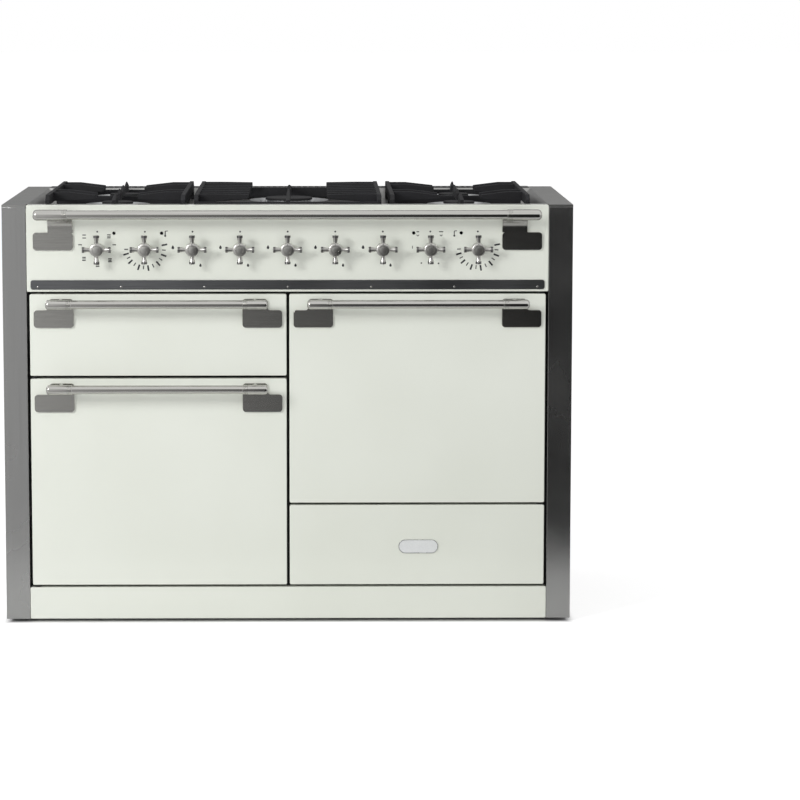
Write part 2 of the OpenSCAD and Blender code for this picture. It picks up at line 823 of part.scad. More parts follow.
module fan_cover(cx, cz) {
    half = 150;
    translate([cx, 0, cz]) difference() {
        upright(cover_y, fan_space) rounded(-half, half, -half, half, 14);
        upright(cover_y + sheet, fan_space) rounded(-half + sheet, half - sheet, -half + sheet, half - sheet, 12);
        for (ring = [1:3], i = [0:ring * 7 - 1])
            rotate([0, i * 360 / (ring * 7), 0]) rod_y([ring * 17, cover_y - 1, 0], 4, 5);
        for (side = [-1, 1], k = [-3:3])
            span(side * 118 - 12, side * 118 + 12, cover_y - 1, cover_y + 3, k * 30 - 4, k * 30 + 4);
    }
}

module fan_covers() {
    color("#3a3b40") {
        fan_cover(-oven_cx, left_cz);
        fan_cover(oven_cx, right_cz);
    }
}

// A centrifugal fan wheel: back plate, blades, hub and the shaft into its motor.
module fan(cx, cz) {
    depth = 22;
    blades = 12;
    translate([cx, cover_y + sheet + 7, cz]) rotate([-90, 0, 0]) {
        translate([0, 0, depth - 1.5]) cylinder(h = 1.5, r = fan_dia / 2);
        translate([0, 0, 4]) cylinder(h = depth - 4, r = 13);
        cylinder(h = oven_back - cover_y + 18, r = shaft_r);
        for (i = [0:blades - 1])
            rotate([0, 0, i * 360 / blades]) translate([fan_dia / 2 - 26, 0, 2])
                rotate([0, 0, 35]) cube([22, 1.5, depth - 3]);
    }
}

module left_fan() {
    color("#9d9d9b") fan(-oven_cx, left_cz);
}

module right_fan() {
    color("#9d9d9b") fan(oven_cx, right_cz);
}

module fan_motors() {
    y = oven_back + sheet;
    color("#6d6e70") for (c = [[-oven_cx, left_cz], [oven_cx, right_cz]])
        difference() {
            union() {
                span(c[0] - 44, c[0] + 44, y, y + 2, c[1] - 44, c[1] + 44);
                rod_y([c[0], y, c[1]], 52, 34);
                rod_y([c[0], y, c[1]], 58, 9);
            }
            rod_y([c[0], y - 1, c[1]], 50, shaft_r + run_gap);
        }
}

// Ring elements round the fans, and the folded grill element.
grill_mid = -(door_x0 + door_x1) / 2;
grill_half = (grill_x1 - grill_x0) / 2;
grill_back = liner_y + grill_d;
element_z = grill_roof - 14;
element_pitch = 62;

module ring_element(cx, cz) {
    y = cover_y + 20;
    translate([cx, y, cz]) rotate([90, 0, 0]) rotate_extrude() translate([ring_r, 0]) circle(element_r);
    for (dx = [-14, 14])
        rod_y([cx + dx, y, cz + ring_leg_z], oven_back + 18 - y, element_r - 0.6);
}

module grill_element() {
    y0 = liner_y + 60;
    y1 = grill_back - 50;
    n = 6;
    for (i = [0:n - 1])
        rod_y([grill_mid + (i - (n - 1) / 2) * element_pitch, y0, element_z],
            (i == 0 || i == n - 1 ? grill_back + 16 : y1) - y0, element_r);
    for (i = [0:n - 2])
        translate([grill_mid + (i - (n - 2) / 2) * element_pitch, i % 2 == 0 ? y0 : y1, element_z])
            rotate([0, 0, i % 2 == 0 ? 180 : 0]) rotate_extrude(angle = 180)
                translate([element_pitch / 2, 0]) circle(element_r);
}

module heating_elements() {
    color("#55565a") {
        ring_element(-oven_cx, left_cz);
        ring_element(oven_cx, right_cz);
        grill_element();
    }
}

// The grill compartment and its glide-out drawer.
module grill_box() {
    x0 = grill_mid - grill_half;
    x1 = grill_mid + grill_half;
    strap_y = [liner_y + 110, grill_back - 110];
    color("#3a3b40") difference() {
        union() {
            upright(liner_y, sheet) rounded(-oven_hole_x[1] - 8, -oven_hole_x[0] + 8,
                grill_hole_z[0] - 8, grill_hole_z[1] + 4, 4);
            span(x0 - sheet, x1 + sheet, liner_y, grill_back + sheet, grill_floor - sheet, grill_roof + sheet);
        }
        difference() {
            span(x0, x1, liner_y - 1, grill_back, grill_floor, grill_roof);
            for (y = strap_y)
                span(x0 + 30, x1 - 30, y, y + 3, element_z - 8, grill_roof + 1);
        }
        for (i = [0:5])
            rod_y([grill_mid + (i - 2.5) * element_pitch, strap_y[0] - 5, element_z],
                strap_y[1] - strap_y[0] + 15, element_r + 0.2);
        for (i = [0, 5])
            rod_y([grill_mid + (i - 2.5) * element_pitch, grill_back - 2, element_z], 6, element_r + 0.2);
    }
}

// One member of a runner on the right-hand wall: a channel open towards the middle.
module runner_member(wall, k, z, len) {
    x_out = wall - k * runner_step;
    x_in = wall - runner_w - k * runner_t;
    half = runner_half - k * runner_step;
    upright(liner_y + 4, len) difference() {
        translate([x_in, z - half]) square([x_out - x_in, 2 * half]);
        translate([x_in - 1, z - half + runner_t]) square([x_out - x_in + 1 - runner_t, 2 * half - 2 * runner_t]);
    }
}

storage_mid = (door_x0 + door_x1) / 2;
storage_wall = (door_x1 - door_x0) / 2 - storage_in;
storage_runner_d = storage_d - 30;

module runner_channels() {
    color("#8f9193") {
        translate([grill_mid, 0, 0]) both_sides()
            runner_member(grill_half, 0, grill_runner_z, grill_runner_d);
        translate([storage_mid, 0, 0]) both_sides() {
            runner_member(storage_wall, 0, storage_runner_z, storage_runner_d);
            span(storage_wall, storage_wall + 2, liner_y + 4, liner_y + 4 + storage_runner_d,
                plinth_top, storage_runner_z + runner_half);
            span(storage_wall - 14, storage_wall + 2, liner_y + 4, liner_y + 4 + storage_runner_d,
                plinth_top, plinth_top + 2);
        }
    }
}

module grill_mid_runners() {
    color("#8f9193") translate([grill_mid, 0, 0]) both_sides()
        runner_member(grill_half, 1, grill_runner_z, grill_runner_d);
}

carriage_x = grill_half - runner_w - 2 * runner_t;
ledge_z = grill_floor + 36;
ledge_w = 16;
pan_y0 = liner_y + 14;
pan_d = 330;
pan_x = carriage_x - 3;

module drawer_back_plate(x0, x1, z0, z1) {
    in = front_t + slip;
    span(x0 + in, x1 - in, yf + front_d - front_t, yf + front_d, z0 + in, z1 - in);
}

module grill_front() {
    color("#e1e4da") enamel_front(-door_x1, -door_x0, grill_z, fronts_top, front_d);
}

module grill_carriage() {
    y1 = liner_y + 4 + grill_runner_d;
    color("#8a8c8e") {
        drawer_back_plate(-door_x1, -door_x0, grill_z, fronts_top);
        translate([grill_mid, 0, 0]) {
            both_sides() {
                runner_member(grill_half, 2, grill_runner_z, grill_runner_d);
                span(carriage_x - 1.5, carriage_x, yf + front_d, y1, grill_floor + 8, grill_floor + 46);
                span(carriage_x - ledge_w, carriage_x, yf + front_d, y1, ledge_z - 1.5, ledge_z);
            }
            span(-carriage_x, carriage_x, y1 - 1.5, y1, grill_floor + 8, grill_floor + 46);
        }
    }
}

// The pan hangs by its rim on the carriage's ledges.
module grill_pan() {
    wall = pan_x - ledge_w + 1;
    depth = 26;
    color("#2a2b30") translate([grill_mid, 0, 0]) difference() {
        union() {
            span(-pan_x, pan_x, pan_y0, pan_y0 + pan_d, ledge_z, ledge_z + 1.5);
            span(-wall, wall, pan_y0 + 6, pan_y0 + pan_d - 6, ledge_z - depth, ledge_z + 1.5);
        }
        span(-wall + 1.5, wall - 1.5, pan_y0 + 7.5, pan_y0 + pan_d - 7.5, ledge_z - depth + 1.5, ledge_z + 2);
    }
}

// Cross wires held in the drilled holes of three flat bars, which stand on the pan's rim.
module grill_trivet() {
    half = pan_x - ledge_w / 2;
    y0 = pan_y0 + 4;
    y1 = pan_y0 + pan_d - 4;
    bar_w = 5;
    bar_h = 6.5;
    wires = 13;
    wire_r = 1.8;
    wire_y = [for (i = [0:wires - 1]) y0 + 8 + i * (y1 - y0 - 16) / (wires - 1)];
    color("#b4b4b2") translate([grill_mid, 0, ledge_z + 1.5 + run_gap]) {
        for (x = [-half, 0, half])
            difference() {
                span(x - bar_w / 2, x + bar_w / 2, y0, y1, 0, bar_h);
                for (y = wire_y)
                    rod_x([-half - 1 - run_gap, y, bar_h / 2], 2 * (half + 1 + run_gap), wire_r + run_gap);
            }
        for (y = wire_y)
            rod_x([-half - 1, y, bar_h / 2], 2 * (half + 1), wire_r);
    }
}

// The storage drawer under the right-hand oven.
module storage_front() {
    color("#e1e4da") enamel_front(door_x0, door_x1, low_z, storage_top, front_d);
}

module storage_box() {
    wall = storage_wall - runner_w - runner_t;
    y0 = yf + front_d;
    z0 = low_z + 20;
    z1 = storage_top - 22;
    color("#9a9b9c") {
        drawer_back_plate(door_x0, door_x1, low_z, storage_top);
        translate([storage_mid, 0, 0]) {
            both_sides() runner_member(storage_wall, 1, storage_runner_z, storage_runner_d);
            difference() {
                span(-wall, wall, y0, y0 + storage_d, z0, z1);
                span(-wall + sheet, wall - sheet, y0 + sheet, y0 + storage_d - sheet, z0 + sheet, z1 + 1);
            }
        }
    }
}

// A cross-handle knob, drawn with its axis along Z from the fascia outwards.
module knob_solid() {
    hub_r = hub_dia / 2;
    hub_t = 16;
    z0 = knob_reach - hub_t;
    arm_z = knob_reach - hub_t / 2 - 1;
    end_len = 6;
    arm_len = knob_span / 2 - end_len;
    difference() {
        union() {
            rotate_extrude() polygon([[0, knob_gap], [8, knob_gap], [8, z0 - 3], [hub_r - 3, z0],
                [hub_r, z0 + 2.5], [hub_r, knob_reach - 3], [hub_r - 2, knob_reach - 1],
                [hub_dia * 0.29, knob_reach - 1], [hub_dia * 0.29, knob_reach], [0, knob_reach]]);
            for (a = [0:90:270])
                rotate([0, 0, a]) translate([0, 0, arm_z]) rotate([0, 90, 0]) {
                    translate([0, 0, hub_r - 4])
                        cylinder(h = arm_len - hub_r + 4, r1 = arm_dia / 2, r2 = arm_end_dia / 2 - 0.7);
                    translate([0, 0, arm_len - 0.01]) cylinder(h = end_len, r = arm_end_dia / 2);
                }
        }
        translate([0, 0, knob_gap - 1]) cylinder(h = 17, r = bore_r);
        translate([0, 11, knob_reach - 1.6]) cylinder(h = 2, r = 1.15);
    }
}

module knob(i) {
    color("#b5b2ab") translate([i * knob_pitch, yf, knob_z]) rotate([90, 0, 0]) knob_solid();
}

module spindle(i, back) {
    rod_y([i * knob_pitch, yf - knob_gap - 15, knob_z], knob_gap + 15 + back, spindle_r);
}

module gas_spindle(i) {
    color("#c9b060") spindle(i, 30);
}

module gas_valves() {
    color("#c0a050") for (i = [-2:2]) {
        x = i * knob_pitch;
        difference() {
            union() {
                rod_y([x, yf + front_t, knob_z], 12, 9);
                span(x - 13, x + 13, yf + 12, yf + 62, knob_z - 13, knob_z + 13);
            }
            rod_y([x, yf, knob_z], 42, bore_r);
        }
    }
}

module oven_controls() {
    color("#4a4a4d") for (i = [-4, -3, 3, 4]) {
        x = i * knob_pitch;
        rod_y([x, yf + front_t, knob_z], 14, 9);
        span(x - 19, x + 19, yf + 14, yf + 48, knob_z - 19, knob_z + 19);
        spindle(i, 20);
    }
}

// Valve to burner: back, across and up, then the manifold and the inlet behind.
module burner_pipe(x0, x1, y1) {
    r = 4;
    y0 = yf + 62;
    rod_y([x0, y0, knob_z], y1 - y0, r);
    translate([x0, y1, knob_z]) sphere(r);
    if (x1 != x0)
        rod_x([min(x0, x1), y1, knob_z], abs(x1 - x0), r);
    translate([x1, y1, knob_z]) sphere(r);
    rod_z([x1, y1, knob_z], well_z - stem_drop - knob_z, r);
}

module gas_manifold() {
    pipe_r = 9;
    pipe_x0 = -2.25 * knob_pitch;
    color("#b08d4a") {
        rod_x([pipe_x0, manifold_y, manifold_z], pipe_x - pipe_x0, pipe_r);
        translate([pipe_x, manifold_y, manifold_z]) sphere(pipe_r);
        rod_y([pipe_x, manifold_y, manifold_z], yb + 2 - manifold_y, pipe_r);
        rod_y([pipe_x, yb + 1, manifold_z], inlet_reach - 1, inlet_r);
        for (i = [-2:2])
            rod_z([i * knob_pitch, manifold_y, manifold_z], knob_z - 13 - manifold_z, 6);
        for (i = [0:4]) {
            b = burners[i];
            burner_pipe((i - 2) * knob_pitch, b[0], b[1]);
        }
    }
}

module function_knob() { knob(-4); }
module left_oven_knob() { knob(-3); }
module gas_knob_1() { knob(-2); }
module gas_knob_2() { knob(-1); }
module gas_knob_3() { knob(0); }
module gas_knob_4() { knob(1); }
module gas_knob_5() { knob(2); }
module grill_knob() { knob(3); }
module right_oven_knob() { knob(4); }
module gas_spindle_1() { gas_spindle(-2); }
module gas_spindle_2() { gas_spindle(-1); }
module gas_spindle_3() { gas_spindle(0); }
module gas_spindle_4() { gas_spindle(1); }
module gas_spindle_5() { gas_spindle(2); }

side_panels();
back_panel();
base_frame();
plinth();
levelling_feet();
front_frame();
hinge_brackets();
control_fascia();
fascia_strip();
guard_rail();
hob_tray();
rear_vent();
burner_heads();
burner_caps();
left_oven_liner();
right_oven_liner();
oven_racks();
fan_covers();
fan_motors();
heating_elements();
door_seals();
grill_box();
gas_manifold();
gas_valves();
oven_controls();
indicator_lamps();
runner_channels();
left_door_panel();
left_door_liner();
left_door_handle();
right_door_panel();
right_door_liner();
right_door_handle();
grill_front();
grill_handle();
grill_carriage();
grill_pan();
grill_trivet();
grill_mid_runners();
storage_front();
storage_box();
left_fan();
right_fan();
left_grate();
centre_grate();
right_grate();
function_knob();
left_oven_knob();
gas_knob_1();
gas_knob_2();
gas_knob_3();
gas_knob_4();
gas_knob_5();
grill_knob();
right_oven_knob();
gas_spindle_1();
gas_spindle_2();
gas_spindle_3();
gas_spindle_4();
gas_spindle_5();
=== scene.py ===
"""A free-standing range cooker with two ovens, a grill drawer, a storage drawer and a five-burner gas hob.

The fixed model gives the construction. This add-on gives it its finishes and its fine pieces, and sets
the stage: pale floor, soft light and the camera. Lengths are metres; X is to the right, -Y towards the
cook, Z up.
"""

import json
import math

import bmesh
import bpy
from bpy.props import FloatProperty, FloatVectorProperty, IntProperty
from mathutils import Matrix, Vector


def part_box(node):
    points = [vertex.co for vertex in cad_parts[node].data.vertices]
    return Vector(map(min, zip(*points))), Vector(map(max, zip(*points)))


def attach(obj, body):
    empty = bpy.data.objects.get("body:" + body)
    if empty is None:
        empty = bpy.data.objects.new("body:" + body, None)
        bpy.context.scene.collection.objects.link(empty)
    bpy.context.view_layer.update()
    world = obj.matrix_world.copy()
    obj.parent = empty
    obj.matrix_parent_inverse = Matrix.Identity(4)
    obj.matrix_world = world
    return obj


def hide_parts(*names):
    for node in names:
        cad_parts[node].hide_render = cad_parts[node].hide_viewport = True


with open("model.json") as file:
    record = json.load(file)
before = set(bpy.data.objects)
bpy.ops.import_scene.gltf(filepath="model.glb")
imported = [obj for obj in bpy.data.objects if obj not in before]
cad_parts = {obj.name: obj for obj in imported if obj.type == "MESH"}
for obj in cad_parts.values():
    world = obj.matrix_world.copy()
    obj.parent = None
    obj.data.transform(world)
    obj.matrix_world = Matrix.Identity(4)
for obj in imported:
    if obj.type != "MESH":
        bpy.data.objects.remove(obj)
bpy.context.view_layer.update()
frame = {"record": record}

bl_info = {
    "name": "Range Cooker Finishes",
    "version": (1, 0, 0),
    "blender": (4, 5, 0),
    "location": "View3D > Sidebar > Cooker",
    "description": "Finishes, fine pieces and stage for a range cooker",
    "category": "Object",
}

MM = 0.001


# Lengths that the frame gives.
def low(node):
    """The corner of a node's box with the least x, y and z."""
    return Vector(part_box(node)[0])


def high(node):
    """The corner of a node's box with the greatest x, y and z."""
    return Vector(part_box(node)[1])


# The plane of the enamelled fronts.
FRONT_Y = low("grill_front").y
# The knobs from left to right.
KNOB_NODES = (
    "function_knob", "left_oven_knob", "gas_knob_1", "gas_knob_2", "gas_knob_3",
    "gas_knob_4", "gas_knob_5", "grill_knob", "right_oven_knob",
)
GAS_KNOBS = KNOB_NODES[2:7]
KNOB_CENTRES = [(low(n) + high(n)) / 2 for n in KNOB_NODES]


def body_of(node):
    """The body that a node of the frame rides on."""
    for body, nodes in frame["record"]["behaviour"]["bodies"].items():
        if node in nodes:
            return body
    raise ValueError("no body holds " + node)


# Colours and materials. A colour mix shares its socket names with other kinds of mix, so they go by number.
MIX_A, MIX_B, MIX_RESULT = 6, 7, 2
# A wave texture runs through this many radians in one unit.
WAVE_RADIANS = 20
# Distance between the fine rings on a turned knob, in millimetres.
TURNED_RING = 1.381


def linear(code):
    """An sRGB hex colour as linear red, green, blue and alpha, by the sRGB standard's own curve."""
    channels = [int(code[i:i + 2], 16) / 255 for i in (1, 3, 5)]
    return (*[c / 12.92 if c <= 0.04045 else ((c + 0.055) / 1.055) ** 2.4 for c in channels], 1.0)


def per(size_mm):
    """How many times a pattern of this size in millimetres fits into a metre."""
    return 1000 / size_mm


def add(tree, kind, values=None, **settings):
    """Adds a node, sets its options, and fills or links its inputs."""
    made = tree.nodes.new(kind)
    for name, value in settings.items():
        setattr(made, name, value)
    for name, value in (values or {}).items():
        if isinstance(value, bpy.types.NodeSocket):
            tree.links.new(value, made.inputs[name])
        else:
            made.inputs[name].default_value = value
    return made


def maths(tree, operation, *values):
    """One step of arithmetic on numbers or sockets."""
    return add(tree, "ShaderNodeMath", dict(enumerate(values)), operation=operation).outputs[0]


def put(name, data):
    """A new object in the scene."""
    made = bpy.data.objects.new(name, data)
    bpy.context.collection.objects.link(made)
    return made


def finish(name, colour, metallic, roughness, **shader_values):
    """A new material with one shader, its constants set on the shader's own sockets."""
    material = bpy.data.materials.new(name)
    material.use_nodes = True
    tree = material.node_tree
    shader = tree.nodes["Principled BSDF"]
    shader.inputs["Base Color"].default_value = linear(colour)
    shader.inputs["Metallic"].default_value = metallic
    shader.inputs["Roughness"].default_value = roughness
    for socket, value in shader_values.items():
        shader.inputs[socket.replace("_", " ")].default_value = value
    return material, tree, shader


def pattern(tree, scale, detail=3.0, seed=0.0):
    """Noise in the object's own space; scale is one number per axis, in repeats a metre."""
    place = add(tree, "ShaderNodeTexCoord").outputs["Object"]
    spot = add(tree, "ShaderNodeMapping", {"Vector": place, "Scale": scale, "Location": (seed,) * 3})
    noise = add(tree, "ShaderNodeTexNoise", {"Vector": spot.outputs[0], "Scale": 1.0, "Detail": detail})
    return noise.outputs["Fac"]


def even(tree, size_mm, detail=3.0, seed=0.0):
    """Noise of one size in millimetres along every axis."""
    return pattern(tree, (per(size_mm),) * 3, detail, seed)


def between(tree, fac, low_value, high_value, fac_low=0.3, fac_high=0.7):
    """Spreads a pattern between two values; noise keeps mostly within the last two numbers."""
    span = add(tree, "ShaderNodeMapRange", {
        "Value": fac, "From Min": fac_low, "From Max": fac_high, "To Min": low_value, "To Max": high_value})
    return span.outputs[0]


def shade(tree, shader, fac, colour_a, colour_b):
    """Varies the base colour between two hex colours."""
    mix = add(tree, "ShaderNodeMix", {"Factor": fac}, data_type="RGBA")
    mix.inputs[MIX_A].default_value = linear(colour_a)
    mix.inputs[MIX_B].default_value = linear(colour_b)
    tree.links.new(mix.outputs[MIX_RESULT], shader.inputs["Base Color"])


def sheen(tree, shader, fac):
    """Varies the roughness by a pattern."""
    tree.links.new(fac, shader.inputs["Roughness"])


def emboss(tree, shader, fac, depth_mm, strength=1.0):
    """Raises the surface by a pattern."""
    bump = add(tree, "ShaderNodeBump", {"Height": fac, "Distance": depth_mm * MM, "Strength": strength})
    tree.links.new(bump.outputs[0], shader.inputs["Normal"])


def vitreous_enamel(name, colour, fleck):
    """Fired glass enamel on steel: deep gloss over a faint orange-peel ripple, a slight drift in its tone."""
    material, tree, shader = finish(
        name, colour, 0.0, 0.16, IOR=1.52, Coat_Weight=0.35, Coat_Roughness=0.05)
    shade(tree, shader, between(tree, even(tree, 420, 2), 0, 1), colour, fleck)
    emboss(tree, shader, even(tree, 5, 2), 0.02, 0.5)
    sheen(tree, shader, between(tree, even(tree, 60, 4, 7.0), 0.12, 0.22))
    return material


def brushed_steel(name, colour, dark, grain, roughness=0.3, grain_mm=0.9, length_mm=90):
    """Stainless steel rubbed with a belt: long scratches along one axis, twice as coarse as real ones."""
    material, tree, shader = finish(name, colour, 1.0, roughness, Anisotropic=0.35)
    scale = [per(grain_mm)] * 3
    scale["xyz".index(grain)] = per(length_mm)
    lines = pattern(tree, tuple(scale), 4)
    clouds = even(tree, 160, 3, 3.0)
    shade(tree, shader, between(tree, lines, 0, 1, 0.25, 0.75), dark, colour)
    sheen(tree, shader, between(tree, clouds, roughness * 0.85, roughness * 1.2))
    emboss(tree, shader, lines, 0.015, 0.6)
    return material


def turned_steel(name, colour, dark, centre):
    """Steel turned on a lathe: fine rings about the knob's own axis, a soft sheen."""
    material, tree, shader = finish(name, colour, 1.0, 0.3, Anisotropic=0.2)
    place = add(tree, "ShaderNodeTexCoord").outputs["Object"]
    spot = add(tree, "ShaderNodeMapping", {"Vector": place, "Location": tuple(-c for c in centre)})
    rings = add(tree, "ShaderNodeTexWave", {
        "Vector": spot.outputs[0], "Scale": 2 * math.pi / WAVE_RADIANS * per(TURNED_RING),
        "Distortion": 0.3, "Detail": 2.0},
        wave_type="RINGS", rings_direction="Y")
    shade(tree, shader, between(tree, rings.outputs["Fac"], 0, 1, 0, 1), dark, colour)
    sheen(tree, shader, between(tree, even(tree, 18), 0.27, 0.36))
    emboss(tree, shader, rings.outputs["Fac"], 0.01, 0.5)
    return material


def cast_iron(name, colour, worn):
    """Matt-enamelled cast iron: a fine sandy skin, blotches where it is handled."""
    material, tree, shader = finish(name, colour, 0.0, 0.6, IOR=1.42)
    sand = even(tree, 1.4, 5)
    blotch = even(tree, 45, 3, 2.0)
    shade(tree, shader, between(tree, blotch, 0, 1), colour, worn)
    sheen(tree, shader, between(tree, sand, 0.5, 0.75))
    emboss(tree, shader, sand, 0.12, 0.6)
    return material


def flecked_enamel(name, colour, fleck):
    """Dark pyrolytic enamel with the pale flecks that such cavities have, about a millimetre across."""
    material, tree, shader = finish(name, colour, 0.0, 0.2, IOR=1.5, Coat_Weight=0.2)
    specks = even(tree, 1.6, 1)
    shade(tree, shader, between(tree, specks, 0, 1, 0.7, 0.74), colour, fleck)
    sheen(tree, shader, between(tree, even(tree, 80), 0.16, 0.3))
    emboss(tree, shader, even(tree, 6, 2), 0.02, 0.4)
    return material


def plated(name, colour, dull, roughness=0.16):
    """Bright plate over steel: near mirror, clouded by handling and heat."""
    material, tree, shader = finish(name, colour, 1.0, roughness)
    shade(tree, shader, between(tree, even(tree, 30, 4), 0, 1), colour, dull)
    sheen(tree, shader, between(tree, even(tree, 12, 3, 5.0), roughness * 0.8, roughness * 1.6))
    return material


def zinc_sheet(name, colour, spangle):
    """Hot-dip zinc on sheet steel: dull flakes of spangle a centimetre or so across."""
    material, tree, shader = finish(name, colour, 0.9, 0.42)
    place = add(tree, "ShaderNodeTexCoord").outputs["Object"]
    flakes = add(tree, "ShaderNodeTexVoronoi", {"Vector": place, "Scale": per(14)})
    tone = add(tree, "ShaderNodeSeparateColor", {"Color": flakes.outputs["Color"]}).outputs[0]
    shade(tree, shader, tone, colour, spangle)
    sheen(tree, shader, between(tree, tone, 0.36, 0.5, 0, 1))
    return material


def coated(name, colour, lighter, roughness, grain_mm, depth_mm=0.03):
    """Paint, plastic or rubber: one colour broken by the texture of its skin."""
    material, tree, shader = finish(name, colour, 0.0, roughness, IOR=1.48)
    skin = even(tree, grain_mm)
    shade(tree, shader, between(tree, skin, 0, 1), colour, lighter)
    sheen(tree, shader, between(tree, skin, roughness * 0.9, roughness * 1.15))
    emboss(tree, shader, skin, depth_mm, 0.5)
    return material


# Every finish by its short name, filled by make_finishes, and the nodes that wear each one.
FINISHES = {}
NODE_FINISH = {
    "enamel": ("plinth", "control_fascia", "left_door_panel", "right_door_panel", "grill_front",
               "storage_front"),
    "panel_steel": ("side_panels",),
    "hob_steel": ("hob_tray",),
    "vent_steel": ("rear_vent",),
    "rail_steel": ("guard_rail", "left_door_handle", "right_door_handle", "grill_handle"),
    "strip_steel": ("fascia_strip",),
    "carriage_steel": ("grill_carriage",),
    "zinc": ("back_panel", "base_frame", "runner_channels", "grill_mid_runners", "storage_box",
             "fan_motors"),
    "frame_black": ("front_frame", "hinge_brackets"),
    "iron": ("left_grate", "centre_grate", "right_grate"),
    "cap_black": ("burner_caps",),
    "burner_alloy": ("burner_heads", "left_fan", "right_fan"),
    "cavity": ("left_oven_liner", "right_oven_liner", "grill_box", "fan_covers", "grill_pan",
               "left_door_liner", "right_door_liner"),
    "wire": ("oven_racks", "grill_trivet"),
    "element": ("heating_elements",),
    "seal": ("door_seals",),
    "foot": ("levelling_feet",),
    "switch_plastic": ("oven_controls",),
    "lens": ("indicator_lamps",),
    "brass": ("gas_manifold", "gas_valves", "gas_spindle_1", "gas_spindle_2", "gas_spindle_3",
              "gas_spindle_4", "gas_spindle_5"),
}


def make_finishes(look):
    """All the shared materials, by short name; the knobs get one each, since its rings need their axis."""
    FINISHES.update({
        "enamel": vitreous_enamel("vitreous_enamel_ivory", look.enamel_hex(), "#DFE2D8"),
        "panel_steel": brushed_steel(
            "belt_ground_stainless_upright", "#B5B5B4", "#A9A9A8", "z", 0.24, 0.8, 260),
        "hob_steel": brushed_steel("satin_stainless_hob", "#B4B4B2", "#9E9E9C", "y", 0.3),
        "vent_steel": brushed_steel("dull_stainless_vent", "#7C7C7D", "#6B6B6C", "x", 0.42),
        "rail_steel": brushed_steel(
            "polished_stainless_rail", "#C8C7C3", "#B4B3AF", "x", 0.11, 0.6, 140),
        "bracket_steel": brushed_steel(
            "satin_stainless_bracket", "#BDBCB8", "#A6A5A1", "x", 0.2, 0.7, 60),
        "strip_steel": brushed_steel("dark_brushed_stainless", "#838486", "#6C6D6F", "x", 0.34),
        "carriage_steel": brushed_steel("satin_stainless_inside", "#A9A9A7", "#939391", "y", 0.36),
        "zinc": zinc_sheet("galvanised_sheet", "#94979A", "#9DA0A2"),
        "frame_black": coated("black_powder_coat", "#0E0E0F", "#151516", 0.5, 1.2),
        "iron": cast_iron("matt_enamelled_iron", "#131315", "#1C1C20"),
        "cap_black": cast_iron("matt_enamelled_cap", "#111113", "#19191C"),
        "burner_alloy": plated("cast_aluminium", "#BFC0C1", "#A4A5A6", 0.34),
        "cavity": flecked_enamel("pyrolytic_enamel_flecked", "#1E1F24", "#55575E"),
        "wire": plated("chromed_wire", "#C9C8C4", "#B2B1AD"),
        "element": plated("oxidised_element_sheath", "#4A4748", "#5C5552", 0.4),
        "seal": coated("woven_silicone_seal", "#38383A", "#444447", 0.7, 1.5, 0.15),
        "foot": coated("moulded_nylon_foot", "#1C1C1E", "#242426", 0.5, 2.0),
        "switch_plastic": coated("moulded_phenolic", "#2C2C2F", "#38383B", 0.42, 1.6),
        "lens": coated("black_acrylic_lens", "#08080A", "#0D0D10", 0.12, 6.0, 0.005),
        "brass": plated("plain_brass", "#C9A55A", "#A88645", 0.28),
        "plate_steel": plated("polished_plate_rim", "#D8D9D8", "#C4C6C6", 0.22),
        "plate_face": coated("satin_lacquered_plate", "#DCDEDE", "#D6D8D8", 0.32, 4.0, 0.01),
        "print": coated("fired_black_print", "#26262A", "#323236", 0.35, 1.0, 0.01),
    })


def dress(obj, finish_name):
    """Gives an object one finish."""
    obj.data.materials.clear()
    obj.data.materials.append(FINISHES[finish_name])


# Mesh helpers.
# Corners this close are one corner, and faces this near to flat are one face.
MERGE = 0.01 * MM
FLAT_DEGREES = 0.5


def make_piece(mesh, name, body, slot, *finishes):
    """Turns a bmesh into a finished piece that rides on a body."""
    data = bpy.data.meshes.new(name)
    mesh.to_mesh(data)
    mesh.free()
    piece = put(name, data)
    for finish_name in finishes:
        data.materials.append(FINISHES[finish_name])
    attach(piece, body)
    return piece


def smooth(piece, angle=35):
    """Smooth faces, sharp where they meet at more than the angle in degrees."""
    limit = math.radians(angle)
    data = piece.data
    mesh = bmesh.new()
    mesh.from_mesh(data)
    for edge in mesh.edges:
        edge.smooth = len(edge.link_faces) == 2 and edge.calc_face_angle(0) < limit
    for face in mesh.faces:
        face.smooth = True
    mesh.to_mesh(data)
    mesh.free()


def soften(piece, width, segments=2, angle=30):
    """Rounds the edges that turn by more than the angle in degrees, with a bevel applied to the mesh."""
    bevel = piece.modifiers.new("edges", "BEVEL")
    bevel.width = width
    bevel.segments = segments
    bevel.limit_method = "ANGLE"
    bevel.angle_limit = math.radians(angle)
    bevel.miter_outer = "MITER_ARC"
    # Large flat faces keep their own shading; only the new rounding is blended.
    weights = piece.modifiers.new("weights", "WEIGHTED_NORMAL")
    weights.keep_sharp = True
    settle(piece)


def settle(piece):
    """Swaps a piece's mesh for its evaluated one and removes its modifiers."""
    graph = bpy.context.evaluated_depsgraph_get()
    result = bpy.data.meshes.new_from_object(piece.evaluated_get(graph))
    piece.modifiers.clear()
    piece.data = result


def join(mesh, ring_a, ring_b):
    """A band of faces between two rings of as many corners."""
    pairs = list(zip(ring_a, ring_b))
    return [mesh.faces.new((a, a_next, b_next, b))
            for (a, b), (a_next, b_next) in zip(pairs, pairs[1:] + pairs[:1])]


